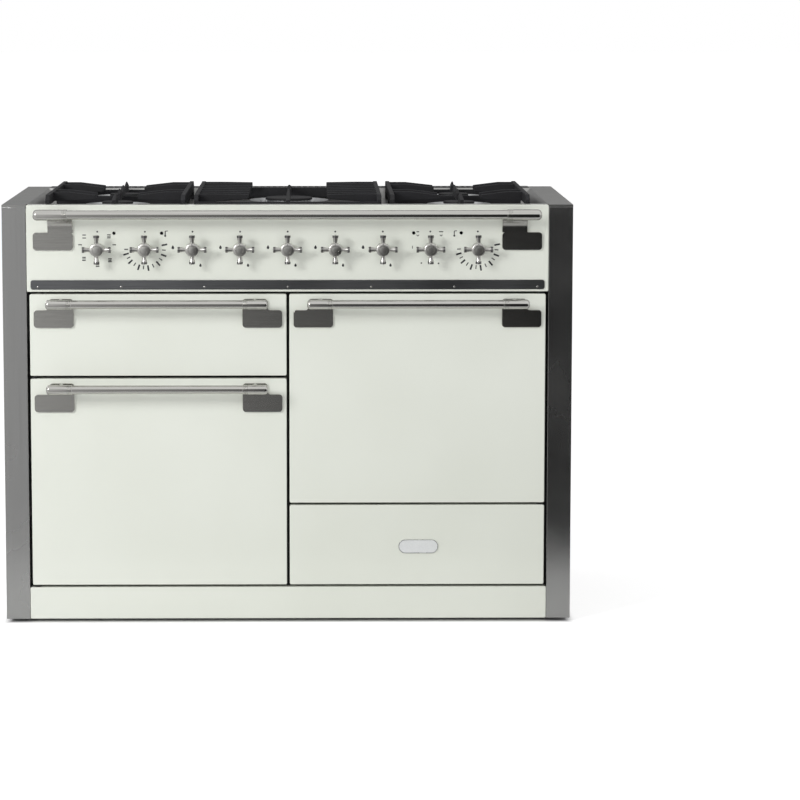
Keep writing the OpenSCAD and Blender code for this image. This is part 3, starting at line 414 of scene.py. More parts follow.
def outline_prism(mesh, points, y_back, y_front):
    """Adds a prism between two depths from an outline in x and z, drawn either way round."""
    back = [mesh.verts.new((x, y_back, z)) for x, z in points]
    front = [mesh.verts.new((x, y_front, z)) for x, z in points]
    faces = [mesh.faces.new(front), mesh.faces.new(list(reversed(back)))]
    bmesh.ops.recalc_face_normals(mesh, faces=faces + join(mesh, front, back))


def lathe(mesh, profile, origin, axis, steps=64, material=0):
    """Turns (radius, distance) points about the x or y axis through origin; both ends are closed."""
    rings = []
    for radius, along in profile:
        ring = []
        for k in range(steps):
            turn = 2 * math.pi * k / steps
            a, b = radius * math.cos(turn), radius * math.sin(turn)
            spot = (along, a, b) if axis == "x" else (a, along, b)
            ring.append(mesh.verts.new(origin + Vector(spot)))
        rings.append(ring)
    faces = []
    for a, b in zip(rings, rings[1:]):
        faces += join(mesh, a, b)
    faces += [mesh.faces.new(rings[0]), mesh.faces.new(rings[-1])]
    for face in faces:
        face.material_index = material
    bmesh.ops.recalc_face_normals(mesh, faces=faces)


def copy_of(node):
    """A merged copy of a node's mesh, to be shaped further."""
    source = bpy.data.objects[node]
    mesh = bmesh.new()
    mesh.from_mesh(source.data)
    bmesh.ops.transform(mesh, matrix=source.matrix_world, verts=mesh.verts)
    bmesh.ops.remove_doubles(mesh, verts=mesh.verts, dist=MERGE)
    bmesh.ops.dissolve_limit(
        mesh, angle_limit=math.radians(FLAT_DEGREES), verts=mesh.verts, edges=mesh.edges)
    return mesh


class RailSizes(bpy.types.PropertyGroup):
    """The guard rail and the three door rails, in metres."""

    groove_width: FloatProperty(
        name="Groove width", description="Width of the turned grooves at a collar's inner end",
        unit="LENGTH", default=0.0013)
    groove_depth: FloatProperty(
        name="Groove depth", description="Depth of the turned grooves", unit="LENGTH", default=0.0006)
    edge: FloatProperty(
        name="Bracket edge", description="Rounding of the brackets' edges", unit="LENGTH", default=0.0008)


# Where a collar's grooves start, back from its inner end, in millimetres.
GROOVES = (10.5, 7.2, 3.9)
# A collar's end is domed by this share of its radius, in this many steps.
DOME_SHARE = 0.7
DOME_STEPS = 8
# How far a turned bar's facets may stand off its true radius when the old rail is looked for.
FACET_SLACK = 0.03 * MM
# Each rail's node, collar radius, bar radius and collar length, in millimetres.
RAILS = (
    ("guard_rail", 11.4, 9.8, 72.0),
    ("left_door_handle", 10.2, 9.4, 54.6),
    ("grill_handle", 10.2, 9.4, 54.6),
    ("right_door_handle", 10.2, 9.4, 54.6),
)


class COOKER_OT_rails(bpy.types.Operator):
    """Polished rails with domed, grooved collars, on brackets with softened edges"""

    bl_idname = "cooker.rails"
    bl_label = "Polish the rails"

    def execute(self, context):
        sizes = context.scene.cooker_rails
        for node, collar_r, bar_r, length in RAILS:
            reach = collar_r * MM
            axis = Vector((0, low(node).y + reach, high(node).z - reach))
            mesh = copy_of(node)
            ahead = [v.co.x for v in mesh.verts if v.co.y < axis.y]
            self.strip(mesh, axis, reach + FACET_SLACK)
            piece = make_piece(mesh, "bracket_" + node, body_of(node), "polished_steel", "bracket_steel")
            smooth(piece, 35)
            soften(piece, sizes.edge, 2, 50)
            turned = bmesh.new()
            outline = self.profile(min(ahead), max(ahead), collar_r, bar_r, length, sizes)
            lathe(turned, outline, axis, "x", 64)
            rail = make_piece(turned, "polished_" + node, body_of(node), "polished_steel", "rail_steel")
            smooth(rail, 32)
            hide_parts(node)
        return {"FINISHED"}

    def strip(self, mesh, axis, reach):
        """Takes away the old bar and collars, which lie within reach of the axis, and closes the brackets."""
        def near(vert):
            return math.hypot(vert.co.y - axis.y, vert.co.z - axis.z) < reach
        old = [face for face in mesh.faces if all(near(v) for v in face.verts)]
        if not old:
            raise RuntimeError("The rail was not found at its axis")
        bmesh.ops.delete(mesh, geom=old, context="FACES")
        bmesh.ops.holes_fill(mesh, edges=[edge for edge in mesh.edges if edge.is_boundary])
        if any(edge.is_boundary for edge in mesh.edges):
            raise RuntimeError("A bracket was left open where the rail was taken away")
        bmesh.ops.recalc_face_normals(mesh, faces=mesh.faces)

    def profile(self, start, end, collar_r, bar_r, length, sizes):
        """The rail's turned outline from one end to the other."""
        dome = collar_r * DOME_SHARE
        half = [(0.3, 0.0)]
        for k in range(DOME_STEPS + 1):
            turn = math.pi / 2 * k / DOME_STEPS
            half.append((collar_r - dome + dome * math.sin(turn), dome - dome * math.cos(turn)))
        wide, deep = sizes.groove_width / MM, sizes.groove_depth / MM
        for back in GROOVES:
            x = length - back
            half += [(collar_r, x), (collar_r - deep, x + wide * 0.3), (collar_r - deep, x + wide * 0.7),
                     (collar_r, x + wide)]
        half += [(collar_r, length - 0.5), (collar_r - 0.5, length), (bar_r, length)]
        points = [(r * MM, start + x * MM) for r, x in half]
        points += [(r * MM, end - x * MM) for r, x in reversed(half)]
        return points


class KnobSizes(bpy.types.PropertyGroup):
    """The nine cross-handle knobs, in metres."""

    groove_radius: FloatProperty(
        name="Groove radius", description="Radius of the ring groove in a knob's face", unit="LENGTH",
        default=0.0081)
    rib_count: IntProperty(
        name="Ribs", description="Ribs round the end of an arm", default=26, min=8, max=48)
    rib_height: FloatProperty(
        name="Rib height", description="How far a rib stands out", unit="LENGTH", default=0.0002)


class MarkSizes(bpy.types.PropertyGroup):
    """Printed marks and screws on the control fascia, in metres."""

    print_height: FloatProperty(
        name="Print height", description="How far the fired print stands out", unit="LENGTH", default=0.0001)
    screw_radius: FloatProperty(
        name="Screw radius", description="Radius of a strip screw's head", unit="LENGTH", default=0.0021)
    screw_step: FloatProperty(
        name="Screw spacing", description="Distance between the strip's screws", unit="LENGTH", default=0.177)


# Geometry Nodes helpers.
def new_tree(name, inputs):
    """A Geometry Nodes tree with named inputs; returns the tree, its input node and its output node."""
    tree = bpy.data.node_groups.new(name, "GeometryNodeTree")
    for label, kind in inputs:
        tree.interface.new_socket(name=label, in_out="INPUT", socket_type="NodeSocket" + kind)
    tree.interface.new_socket(name="Geometry", in_out="OUTPUT", socket_type="NodeSocketGeometry")
    return tree, tree.nodes.new("NodeGroupInput"), tree.nodes.new("NodeGroupOutput")


def grow(tree, values, name):
    """Runs a tree on an empty mesh and returns the plain mesh that it makes."""
    seed = put(name, bpy.data.meshes.new(name))
    nodes = seed.modifiers.new("nodes", "NODES")
    nodes.node_group = tree
    for item in tree.interface.items_tree:
        if item.in_out == "INPUT" and item.name in values:
            nodes[item.identifier] = values[item.name]
    graph = bpy.context.evaluated_depsgraph_get()
    result = bpy.data.meshes.new_from_object(seed.evaluated_get(graph))
    seed.modifiers.clear()
    bpy.data.objects.remove(seed)
    return result


def rib_tree():
    """Ribs round a ring about the X axis: count, ring radius, rib length, height and width."""
    tree, given, result = new_tree("ribs_round_a_ring", (
        ("Ribs", "Int"), ("Ring Radius", "Float"), ("Length", "Float"), ("Height", "Float"),
        ("Width", "Float"), ("Finish", "Material")))
    ring = add(tree, "GeometryNodeMeshCircle", {
        "Vertices": given.outputs["Ribs"], "Radius": given.outputs["Ring Radius"]})
    size = add(tree, "ShaderNodeCombineXYZ", {
        "X": given.outputs["Height"], "Y": given.outputs["Width"], "Z": given.outputs["Length"]})
    rib = add(tree, "GeometryNodeMeshCube", {"Size": size.outputs[0]})
    spot = add(tree, "GeometryNodeInputPosition")
    facing = add(tree, "FunctionNodeAlignEulerToVector", {"Vector": spot.outputs[0]},
                 axis="X", pivot_axis="Z")
    ribs = add(tree, "GeometryNodeInstanceOnPoints", {
        "Points": ring.outputs[0], "Instance": rib.outputs["Mesh"], "Rotation": facing.outputs[0]})
    whole = add(tree, "GeometryNodeRealizeInstances", {"Geometry": ribs.outputs[0]})
    turned = add(tree, "GeometryNodeTransform", {
        "Geometry": whole.outputs[0], "Rotation": (0, math.pi / 2, 0)})
    finished = add(tree, "GeometryNodeSetMaterial", {
        "Geometry": turned.outputs[0], "Material": given.outputs["Finish"]})
    tree.links.new(finished.outputs[0], result.inputs[0])
    return tree


def screw_tree():
    """A row of domed screw heads along X, facing -Y."""
    tree, given, result = new_tree("row_of_screws", (
        ("Count", "Int"), ("Start", "Vector"), ("Step", "Float"), ("Head Radius", "Float"),
        ("Finish", "Material")))
    step = add(tree, "ShaderNodeCombineXYZ", {"X": given.outputs["Step"]})
    row = add(tree, "GeometryNodeMeshLine", {
        "Count": given.outputs["Count"], "Start Location": given.outputs["Start"], "Offset": step.outputs[0]})
    ball = add(tree, "GeometryNodeMeshUVSphere", {
        "Segments": 20, "Rings": 10, "Radius": given.outputs["Head Radius"]})
    # Pressed to about a third of its height, a ball makes a pan head.
    head = add(tree, "GeometryNodeTransform", {"Geometry": ball.outputs["Mesh"], "Scale": (1, 0.35, 1)})
    heads = add(tree, "GeometryNodeInstanceOnPoints", {"Points": row.outputs[0], "Instance": head.outputs[0]})
    whole = add(tree, "GeometryNodeRealizeInstances", {"Geometry": heads.outputs[0]})
    finished = add(tree, "GeometryNodeSetMaterial", {
        "Geometry": whole.outputs[0], "Material": given.outputs["Finish"]})
    tree.links.new(finished.outputs[0], result.inputs[0])
    return tree


# A knob in millimetres: its arms' axis behind its face, the ribs' ring on an arm, the dot above the centre.
ARM_DEPTH = 9.0
RIB_RING, RIB_LENGTH, RIB_WIDTH, RIB_MIDDLE = 5.9, 4.6, 0.75, 27.9
DOT_RADIUS, DOT_RISE = 1.15, 10.9
# The hub's radii, with their distances in front of its back.
HUB_BACK = ((9.5, 0), (11.2, 0), (11.6, 0.4), (11.6, 8), (12.4, 9.4), (13.7, 11), (14.25, 13))
# The same behind its face: outside the ring groove, in it (counted from its radius) and inside it.
HUB_RIM = ((14.25, 3), (14.0, 2.2), (13.4, 1.6), (12.2, 1.1))
HUB_GROOVE = ((0.8, 0.7), (0.4, 1.3), (-0.1, 1.3), (-0.5, 0.6))
HUB_MIDDLE = ((5, 0.2), (2.5, 0.05), (0.5, 0))
# An arm's radii and their distances from the knob's axis.
ARM_OUTLINE = (
    (4.1, 11.5), (4.15, 14.4), (4.35, 17), (4.8, 20.5), (5.6, 23.7), (5.75, 24.3), (5.45, 24.5),
    (5.45, 24.8), (5.8, 25.0), (5.9, 25.2), (5.9, 30.0), (5.6, 30.5), (4.6, 30.75), (0.4, 30.75),
)


class COOKER_OT_knobs(bpy.types.Operator):
    """Turned cross-handle knobs: grooved hub, pointer dot, flared arms with ribbed ends"""

    bl_idname = "cooker.knobs"
    bl_label = "Turn the knobs"

    def execute(self, context):
        sizes = context.scene.cooker_knobs
        tree = rib_tree()
        for k, (node, centre) in enumerate(zip(KNOB_NODES, KNOB_CENTRES)):
            finish_name = f"turned_knob_{k + 1}"
            values = {"Ribs": sizes.rib_count, "Ring Radius": RIB_RING * MM, "Length": RIB_LENGTH * MM,
                      "Height": 2 * sizes.rib_height, "Width": RIB_WIDTH * MM,
                      "Finish": FINISHES[finish_name]}
            ribs = grow(tree, values, "ribs")
            mesh = bmesh.new()
            self.hub(mesh, low(node), high(node), centre, sizes)
            crossing = Vector((centre.x, low(node).y + ARM_DEPTH * MM, centre.z))
            for quarter in range(4):
                self.arm(mesh, crossing, quarter, ribs)
            piece = make_piece(
                mesh, f"cross_knob_{k + 1}", body_of(node), "knob_metal", finish_name, "print")
            smooth(piece, 28)
            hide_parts(node)
            bpy.data.meshes.remove(ribs)
        return {"FINISHED"}

    def hub(self, mesh, near, far, centre, sizes):
        """The turned hub, from its back at the fascia to its grooved face."""
        face, back = near.y, far.y
        profile = [(r * MM, back - y * MM) for r, y in HUB_BACK]
        profile += [(r * MM, face + y * MM) for r, y in HUB_RIM]
        profile += [(sizes.groove_radius + r * MM, face + y * MM) for r, y in HUB_GROOVE]
        profile += [(r * MM, face + y * MM) for r, y in HUB_MIDDLE]
        lathe(mesh, profile, Vector((centre.x, 0, centre.z)), "y", 72)
        dot = [(DOT_RADIUS * MM, face + 2 * MM), (DOT_RADIUS * MM, face + 0.9 * MM),
               (0.2 * MM, face + 0.85 * MM)]
        lathe(mesh, dot, Vector((centre.x, 0, centre.z + DOT_RISE * MM)), "y", 20, 1)

    def arm(self, mesh, origin, quarter, ribs):
        """One flared arm with its ribbed end ring, turned a number of quarters about the knob's axis."""
        whole = bmesh.new()
        lathe(whole, [(r * MM, x * MM) for r, x in ARM_OUTLINE], Vector((0, 0, 0)), "x", 32)
        ends = bmesh.new()
        ends.from_mesh(ribs)
        bmesh.ops.transform(ends, matrix=Matrix.Translation((RIB_MIDDLE * MM, 0, 0)), verts=ends.verts)
        turn = Matrix.Translation(origin) @ Matrix.Rotation(quarter * math.pi / 2, 4, "Y")
        for part in (whole, ends):
            bmesh.ops.transform(part, matrix=turn, verts=part.verts)
            held = bpy.data.meshes.new("arm")
            part.to_mesh(held)
            part.free()
            mesh.from_mesh(held)
            bpy.data.meshes.remove(held)


# Printed marks, in millimetres: the ring round a knob that most stand on, and the middle of a tick's ends.
MARK_RING = 36
LONG_TICK, SHORT_TICK = 48, 44
# Bearings of a thermostat's long ticks; the last short tick lies before LAST_TICK.
TICKS = (11, -20, -49, -81, -109, -138, -164)
LAST_TICK = -192
# The oven's functions: bearing, distance, and strokes (top, bottom, middle and two crossed ones).
OVEN_SYMBOLS = (
    (137, 38, "tb"), (47, 36, "tbm"), (172, 37, "t"), (8, 36, "t"),
    (-143, 36, "tbm"), (-43, 36, "tbmxy"), (-90, 34.5, "tbm"),
)


def ray(centre, degrees, radius):
    """A point on the fascia at a bearing (0 is right, 90 is up) and a distance in millimetres."""
    turn = math.radians(degrees)
    return (centre.x + radius * MM * math.cos(turn), centre.z + radius * MM * math.sin(turn))


def bar(start, end, width):
    """The outline of a straight stroke."""
    a, b = Vector(start), Vector(end)
    side = (b - a).normalized().orthogonal() * width * MM / 2
    return [tuple(a + side), tuple(a - side), tuple(b - side), tuple(b + side)]


def flame(centre, height):
    """A teardrop outline, point up: fuller below its middle than above."""
    outline = []
    for k in range(20):
        turn = 2 * math.pi * k / 20
        across = math.sin(turn) * (0.32 - 0.16 * math.cos(turn)) * height * MM
        outline.append((centre[0] + across, centre[1] + math.cos(turn) * 0.5 * height * MM))
    return outline


def disc(centre, radius, steps=18):
    """A round outline; its radius is in millimetres."""
    turns = [2 * math.pi * k / steps for k in range(steps)]
    return [(centre[0] + radius * MM * math.cos(turn), centre[1] + radius * MM * math.sin(turn))
            for turn in turns]


class COOKER_OT_marks(bpy.types.Operator):
    """Generic printed marks round the knobs: off marks, flames, temperature ticks and oven symbols"""

    bl_idname = "cooker.marks"
    bl_label = "Print the fascia"

    def execute(self, context):
        height = context.scene.cooker_marks.print_height
        for k, (node, centre) in enumerate(zip(KNOB_NODES, KNOB_CENTRES)):
            shapes = [disc(ray(centre, 90, MARK_RING), 1.9)]
            if node in GAS_KNOBS:
                shapes.append(flame(ray(centre, 176, 42), 8))
                shapes.append(flame(ray(centre, -65, 39), 7))
            elif node == "left_oven_knob":
                shapes += self.thermostat(centre, 43)
            elif node == "right_oven_knob":
                shapes += self.thermostat(centre, -50)
            elif node == "function_knob":
                shapes += self.oven_symbols(centre)
            else:
                shapes += self.grill_symbols(centre)
            mesh = bmesh.new()
            for outline in shapes:
                outline_prism(mesh, outline, FRONT_Y + 0.02 * MM, FRONT_Y - height)
            make_piece(mesh, f"fascia_print_{k + 1}", "cooker", "black_paint", "print")
        return {"FINISHED"}

    def thermostat(self, centre, beside):
        """Seven long ticks, each with a short one after it, and a thermometer at a distance to the side."""
        shapes = [bar(ray(centre, b, MARK_RING), ray(centre, b, LONG_TICK), 3.6) for b in TICKS]
        for a, b in zip(TICKS, TICKS[1:] + (LAST_TICK,)):
            middle = (a + b) / 2
            shapes.append(bar(ray(centre, middle, MARK_RING), ray(centre, middle, SHORT_TICK), 2.1))
        x, top, bottom = centre.x + beside * MM, centre.z + 37 * MM, centre.z + 27 * MM
        shapes += [bar((x, bottom), (x, top), 2.0), disc((x, bottom), 2.1),
                   bar((x, top), (x + 5.5 * MM, top + 0.6 * MM), 1.7)]
        return shapes

    def oven_symbols(self, centre):
        """Small frames with bars, as ovens use for their functions, at seven places."""
        w, h = 3.8 * MM, 3.2 * MM
        strokes = {"t": (-w, h, w, h, 2.1), "b": (-w, -h, w, -h, 2.1), "m": (-w, 0, w, 0, 1.5),
                   "x": (-w, -h, w, h, 0.8), "y": (-w, h, w, -h, 0.8)}
        shapes = []
        for bearing, reach, parts in OVEN_SYMBOLS:
            x, z = ray(centre, bearing, reach)
            for x1, z1, x2, z2, width in (strokes[part] for part in parts):
                shapes.append(bar((x + x1, z + z1), (x + x2, z + z2), width))
        return shapes

    def grill_symbols(self, centre):
        """Half and full grill signs, a stroke to the left, and dots for the lower settings."""
        shapes = []
        z = centre.z + 35.5 * MM
        for across, wide in ((-26.5, 5.5), (23, 9)):
            x = centre.x + across * MM
            shapes.append(bar((x - wide / 2 * MM, z), (x + wide / 2 * MM, z), 2.0))
            for side in (-2.6, 2.6):
                shapes.append(bar((x + side * MM, z - 6.4 * MM), (x, z - 9.6 * MM), 1.5))
        for bearing in (-121, -61):
            shapes.append(disc(ray(centre, bearing, 36.5), 1.7))
        x, z = ray(centre, 176, 38)
        shapes.append(bar((x, z - 3 * MM), (x, z + 3 * MM), 1.4))
        return shapes


# The strip's screws: how many, and how far above its lower edge.
SCREWS = 7
SCREW_RISE = 5.5 * MM


class COOKER_OT_strip_screws(bpy.types.Operator):
    """Domed screw heads along the steel strip"""

    bl_idname = "cooker.strip_screws"
    bl_label = "Screw the strip on"

    def execute(self, context):
        sizes = context.scene.cooker_marks
        corner = low("fascia_strip")
        start = Vector((-(SCREWS - 1) / 2 * sizes.screw_step, corner.y, corner.z + SCREW_RISE))
        values = {"Count": SCREWS, "Start": start, "Step": sizes.screw_step,
                  "Head Radius": sizes.screw_radius, "Finish": FINISHES["wire"]}
        piece = put("strip_screws", grow(screw_tree(), values, "strip_screws"))
        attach(piece, "cooker")
        smooth(piece, 60)
        return {"FINISHED"}


# The plate's rings from its back to its sunk face: half the length, half the height, how far it stands out.
PLATE_RINGS = (
    (42.5, 15.0, 0.0), (42.5, 15.0, 1.6), (42.1, 14.6, 2.2), (41.3, 13.8, 2.2), (40.9, 13.4, 1.5),
)
# The plate's middle, right of the front's middle and below its upper edge.
PLATE_RIGHT, PLATE_DROP = 3 * MM, 90 * MM


class COOKER_OT_drawer_plate(bpy.types.Operator):
    """A plain, blank plate with a raised steel rim on the storage drawer"""

    bl_idname = "cooker.drawer_plate"
    bl_label = "Fix the drawer's plate"

    def execute(self, context):
        near, far = low("storage_front"), high("storage_front")
        middle = Vector(((near.x + far.x) / 2 + PLATE_RIGHT, near.y, far.z - PLATE_DROP))
        mesh = bmesh.new()
        loops = []
        for half_long, half_high, out in PLATE_RINGS:
            loops.append([mesh.verts.new((middle.x + x * MM, middle.y - out * MM, middle.z + z * MM))
                          for x, z in self.outline(half_long, half_high)])
        for a, b in zip(loops, loops[1:]):
            join(mesh, a, b)
        mesh.faces.new(loops[-1]).material_index = 1
        mesh.faces.new(list(reversed(loops[0])))
        bmesh.ops.recalc_face_normals(mesh, faces=mesh.faces)
        piece = make_piece(mesh, "drawer_plate", "storage_drawer", "polished_steel", "plate_steel",
                           "plate_face")
        smooth(piece, 25)
        return {"FINISHED"}

    def outline(self, half_long, half_high):
        """A rectangle whose ends are all but half-round."""
        points = []
        r = half_high * 0.98
        for corner, (sx, sz) in enumerate(((1, 1), (-1, 1), (-1, -1), (1, -1))):
            x, z = sx * (half_long - r), sz * (half_high - r)
            for k in range(13):
                turn = math.pi / 2 * (corner + k / 12)
                points.append((x + r * math.cos(turn), z + r * math.sin(turn)))
        return points


class COOKER_OT_side_panels(bpy.types.Operator):
    """Side panels with the rounded edges that folding gives"""

    bl_idname = "cooker.side_panels"
    bl_label = "Fold the side panels"

    def execute(self, context):
        mesh = copy_of("side_panels")
        piece = make_piece(mesh, "folded_side_panels", "cooker", "satin_steel", "panel_steel")
        smooth(piece, 35)
        soften(piece, context.scene.cooker_look.fold_radius, 2, 50)
        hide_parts("side_panels")
        return {"FINISHED"}


class COOKER_OT_pan_supports(bpy.types.Operator):
    """Pan supports with the rounded edges that casting gives"""

    bl_idname = "cooker.pan_supports"
    bl_label = "Cast the pan supports"

    def execute(self, context):
        for node in ("left_grate", "centre_grate", "right_grate"):
            mesh = copy_of(node)
            piece = make_piece(mesh, "cast_" + node, body_of(node), "cast_iron", "iron")
            smooth(piece, 35)
            soften(piece, context.scene.cooker_look.iron_edge, 2)
            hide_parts(node)
        return {"FINISHED"}


# Sizes and colours that a user would change.
class CookerLook(bpy.types.PropertyGroup):
    """The enamel's colour and the rounding of cast and folded edges."""

    enamel: FloatVectorProperty(
        name="Enamel", description="Colour of the enamelled fronts, as sRGB", subtype="COLOR_GAMMA",
        size=3, min=0, max=1, default=(0.902, 0.914, 0.878))
    iron_edge: FloatProperty(
        name="Iron edge radius", description="Rounding of the pan supports' cast edges",
        unit="LENGTH", default=0.0012, min=0.0003, max=0.003)
    fold_radius: FloatProperty(
        name="Fold radius", description="Rounding of the side panels' folded edges",
        unit="LENGTH", default=0.0012, min=0.0003, max=0.002)

    def enamel_hex(self):
        """The enamel's colour as a hex code."""
        return "#" + "".join(f"{round(c * 255):02X}" for c in self.enamel)


class CookerStage(bpy.types.PropertyGroup):
    """Where the camera stands and how strong the lamps are."""

    camera_side: FloatProperty(
        name="Camera to the side", description="Camera's distance to the right of the middle",
        unit="LENGTH", default=0.055)
    camera_height: FloatProperty(
        name="Camera height", description="Camera's height above the floor", unit="LENGTH", default=1.3446)
    camera_back: FloatProperty(
        name="Camera distance", description="Camera's distance in front of the door fronts",
        unit="LENGTH", default=6.2398)
    focal: FloatProperty(
        name="Focal length", description="Lens for a 36 mm sensor, in millimetres", default=132.7)
    camera_down: FloatProperty(
        name="Camera pitch", description="How far the camera looks down", subtype="ANGLE",
        default=math.radians(6.624))
    camera_right: FloatProperty(
        name="Camera yaw", description="How far the camera looks to the right", subtype="ANGLE",
        default=math.radians(0.592))
    key_power: FloatProperty(
        name="Key lamp", description="Power of the large soft lamp at the upper left",
        unit="POWER", default=106.0)
    fill_power: FloatProperty(
        name="Fill lamp", description="Power of the soft lamp in front", unit="POWER", default=32.0)
    world_strength: FloatProperty(
        name="World", description="Strength of the world's light on the object", default=0.48)


# Part of the photograph's framing; the rest is the camera's turn. Small, so that no other view is cropped.
CAMERA_SHIFT = (0.07, -0.08)
SENSOR_MM = 36.0
FLOOR_HALF = 60
# Each lamp's name, place and width. They look at the middle of the fronts.
LAMPS = (("key", (-3.1, -3.6, 2.3), 1.3), ("fill", (1.2, -5.0, 1.6), 2.4))
LAMP_AIM = (0, FRONT_Y, 0.55)
# How much brighter the camera sees the floor than it is lit, and where that glow starts and is full, from the
# cooker's outline; inside that edge the floor gets no glow, which is painted shade under the cooker.
FLOOR_GLOW = 0.58
PAINTED_SHADE_EDGE_INNER, PAINTED_SHADE_EDGE_OUTER = -0.01, 0.012
# The front card lies just above the floor, from its near edge to its bend, and stands up from there.
CARD_HALF, CARD_NEAR, CARD_BEND, CARD_LOW, CARD_TOP = 3.5, -0.95, -2.7, 0.004, 1.5
# It is bright at its left and dark at its right, between these places.
CARD_BRIGHT, CARD_DARK = -0.9, 0.8
CARD_RANGE, CARD_LEAST = 0.6, 0.025
# The rear card: half its width, its place, its lower and upper edge and its light.
REAR_HALF, REAR_Y, REAR_LOW, REAR_HIGH, REAR_GLOW = 3, 1.3, 0.8, 3.2, 0.33


class COOKER_OT_stage(bpy.types.Operator):
    """Floor, lamps, world and camera"""

    bl_idname = "cooker.stage"
    bl_label = "Set the stage"

    def execute(self, context):
        stage = context.scene.cooker_stage
        self.make_floor()
        self.make_cards()
        self.make_world(context.scene, stage)
        self.make_lamps(stage)
        self.make_camera(context, stage)
        context.scene.view_settings.view_transform = "Standard"
        return {"FINISHED"}

    def make_floor(self):
        """A matt white board, which the camera sees a little brighter than it lights the cooker, with painted
        shade under the cooker.
        """
        mesh = bmesh.new()
        bmesh.ops.create_grid(mesh, x_segments=1, y_segments=1, size=FLOOR_HALF)
        data = bpy.data.meshes.new("floor")
        mesh.to_mesh(data)
        mesh.free()
        floor = put("floor", data)
        material, tree, shader = finish("matt_white_board_with_painted_shade_under", "#F4F4F4", 0.0, 0.9)
        # Painted shade: under the cooker the glow stops, so the gap below the plinth stays dark.
        path = add(tree, "ShaderNodeLightPath")
        place = add(tree, "ShaderNodeTexCoord").outputs["Object"]
        away = add(tree, "ShaderNodeVectorMath", {0: place}, operation="ABSOLUTE")
        away = add(tree, "ShaderNodeSeparateXYZ", {0: away.outputs[0]})
        beside = maths(tree, "SUBTRACT", away.outputs[0], high("side_panels").x)
        before = maths(tree, "SUBTRACT", away.outputs[1], -FRONT_Y)
        # The glow rises from nothing inside the cooker's outline to full just outside it: painted shade under
        # the cooker.
        level = add(tree, "ShaderNodeMapRange", {
            "Value": maths(tree, "MAXIMUM", beside, before), "From Min": PAINTED_SHADE_EDGE_INNER, "From Max": PAINTED_SHADE_EDGE_OUTER,
            "To Min": 0.0, "To Max": FLOOR_GLOW})
        glow = add(tree, "ShaderNodeEmission", {"Color": (1, 1, 1, 1), "Strength": level.outputs[0]})
        both = add(tree, "ShaderNodeAddShader", {0: shader.outputs[0], 1: glow.outputs[0]})
        pick = add(tree, "ShaderNodeMixShader", {
            0: path.outputs["Is Camera Ray"], 1: shader.outputs[0], 2: both.outputs[0]})
        tree.links.new(pick.outputs[0], tree.nodes["Material Output"].inputs["Surface"])
        data.materials.append(material)

    def make_cards(self):
        """Cards for reflections alone: one graded from grey to near black in front, a grey one behind."""
        front = [(side * CARD_HALF, y, z) for y, z in
                 ((CARD_NEAR, CARD_LOW), (CARD_BEND, CARD_LOW), (CARD_BEND, CARD_TOP)) for side in (-1, 1)]
        tree = self.card("front_card", front, [(0, 1, 3, 2), (2, 3, 5, 4)])
        place = add(tree, "ShaderNodeTexCoord").outputs["Object"]
        across = add(tree, "ShaderNodeSeparateXYZ", {0: place}).outputs[0]
        share = add(tree, "ShaderNodeMapRange", {
            "Value": across, "From Min": CARD_DARK, "From Max": CARD_BRIGHT, "To Min": 0.0, "To Max": 1.0})
        curve = maths(tree, "POWER", share.outputs[0], 2.0)
        self.light(tree, maths(tree, "MULTIPLY_ADD", curve, CARD_RANGE, CARD_LEAST))
        # The rear card is what the steel round the hob reflects.
        rear = [(side * REAR_HALF, REAR_Y, z) for z in (REAR_LOW, REAR_HIGH) for side in (-1, 1)]
        self.light(self.card("rear_card", rear, [(0, 1, 3, 2)]), REAR_GLOW)

    def card(self, name, corners, faces):
        """A card that only reflections see; returns its material's tree, which has no shader yet."""
        data = bpy.data.meshes.new(name)
        data.from_pydata(corners, [], faces)
        card = put(name, data)
        for kind in ("camera", "diffuse", "transmission", "shadow"):
            setattr(card, "visible_" + kind, False)
        material = bpy.data.materials.new(name + "_paper")
        material.use_nodes = True
        material.node_tree.nodes.remove(material.node_tree.nodes["Principled BSDF"])
        data.materials.append(material)
        return material.node_tree

    def light(self, tree, level):
        """Makes a card's material shine at a level."""
        glow = add(tree, "ShaderNodeEmission", {"Strength": level})
        tree.links.new(glow.outputs[0], tree.nodes["Material Output"].inputs["Surface"])

    def make_world(self, scene, stage):
        """Soft light on the cooker; plain white to the camera, through clear pieces and in reflections."""
        world = bpy.data.worlds.new("studio")
        scene.world = world
        world.use_nodes = True
        tree = world.node_tree
        soft = tree.nodes["Background"]
        soft.inputs["Color"].default_value = (1, 1, 1, 1)
        soft.inputs["Strength"].default_value = stage.world_strength
        path = add(tree, "ShaderNodeLightPath")
        clear = maths(tree, "MAXIMUM", path.outputs["Is Camera Ray"], path.outputs["Is Transmission Ray"])
        seen = maths(tree, "MAXIMUM", clear, path.outputs["Is Glossy Ray"])
        white = add(tree, "ShaderNodeBackground", {"Color": (1, 1, 1, 1), "Strength": 1.0})
        pick = add(tree, "ShaderNodeMixShader", {0: seen, 1: soft.outputs[0], 2: white.outputs[0]})
        tree.links.new(pick.outputs[0], tree.nodes["World Output"].inputs["Surface"])

    def make_lamps(self, stage):
        """A key lamp at the upper left and a soft fill lamp in front."""
        powers = {"key": stage.key_power, "fill": stage.fill_power}
        for name, place, size in LAMPS:
            lamp = bpy.data.lights.new(name, "AREA")
            lamp.shape = "SQUARE"
            lamp.size = size
            lamp.energy = powers[name]
            holder = put(name, lamp)
            holder.location = place
            # The fill lamp stays out of the steel's reflections.
            holder.visible_glossy = name != "fill"
            facing = (Vector(LAMP_AIM) - holder.location).to_track_quat("-Z", "Y")
            holder.rotation_euler = facing.to_euler()

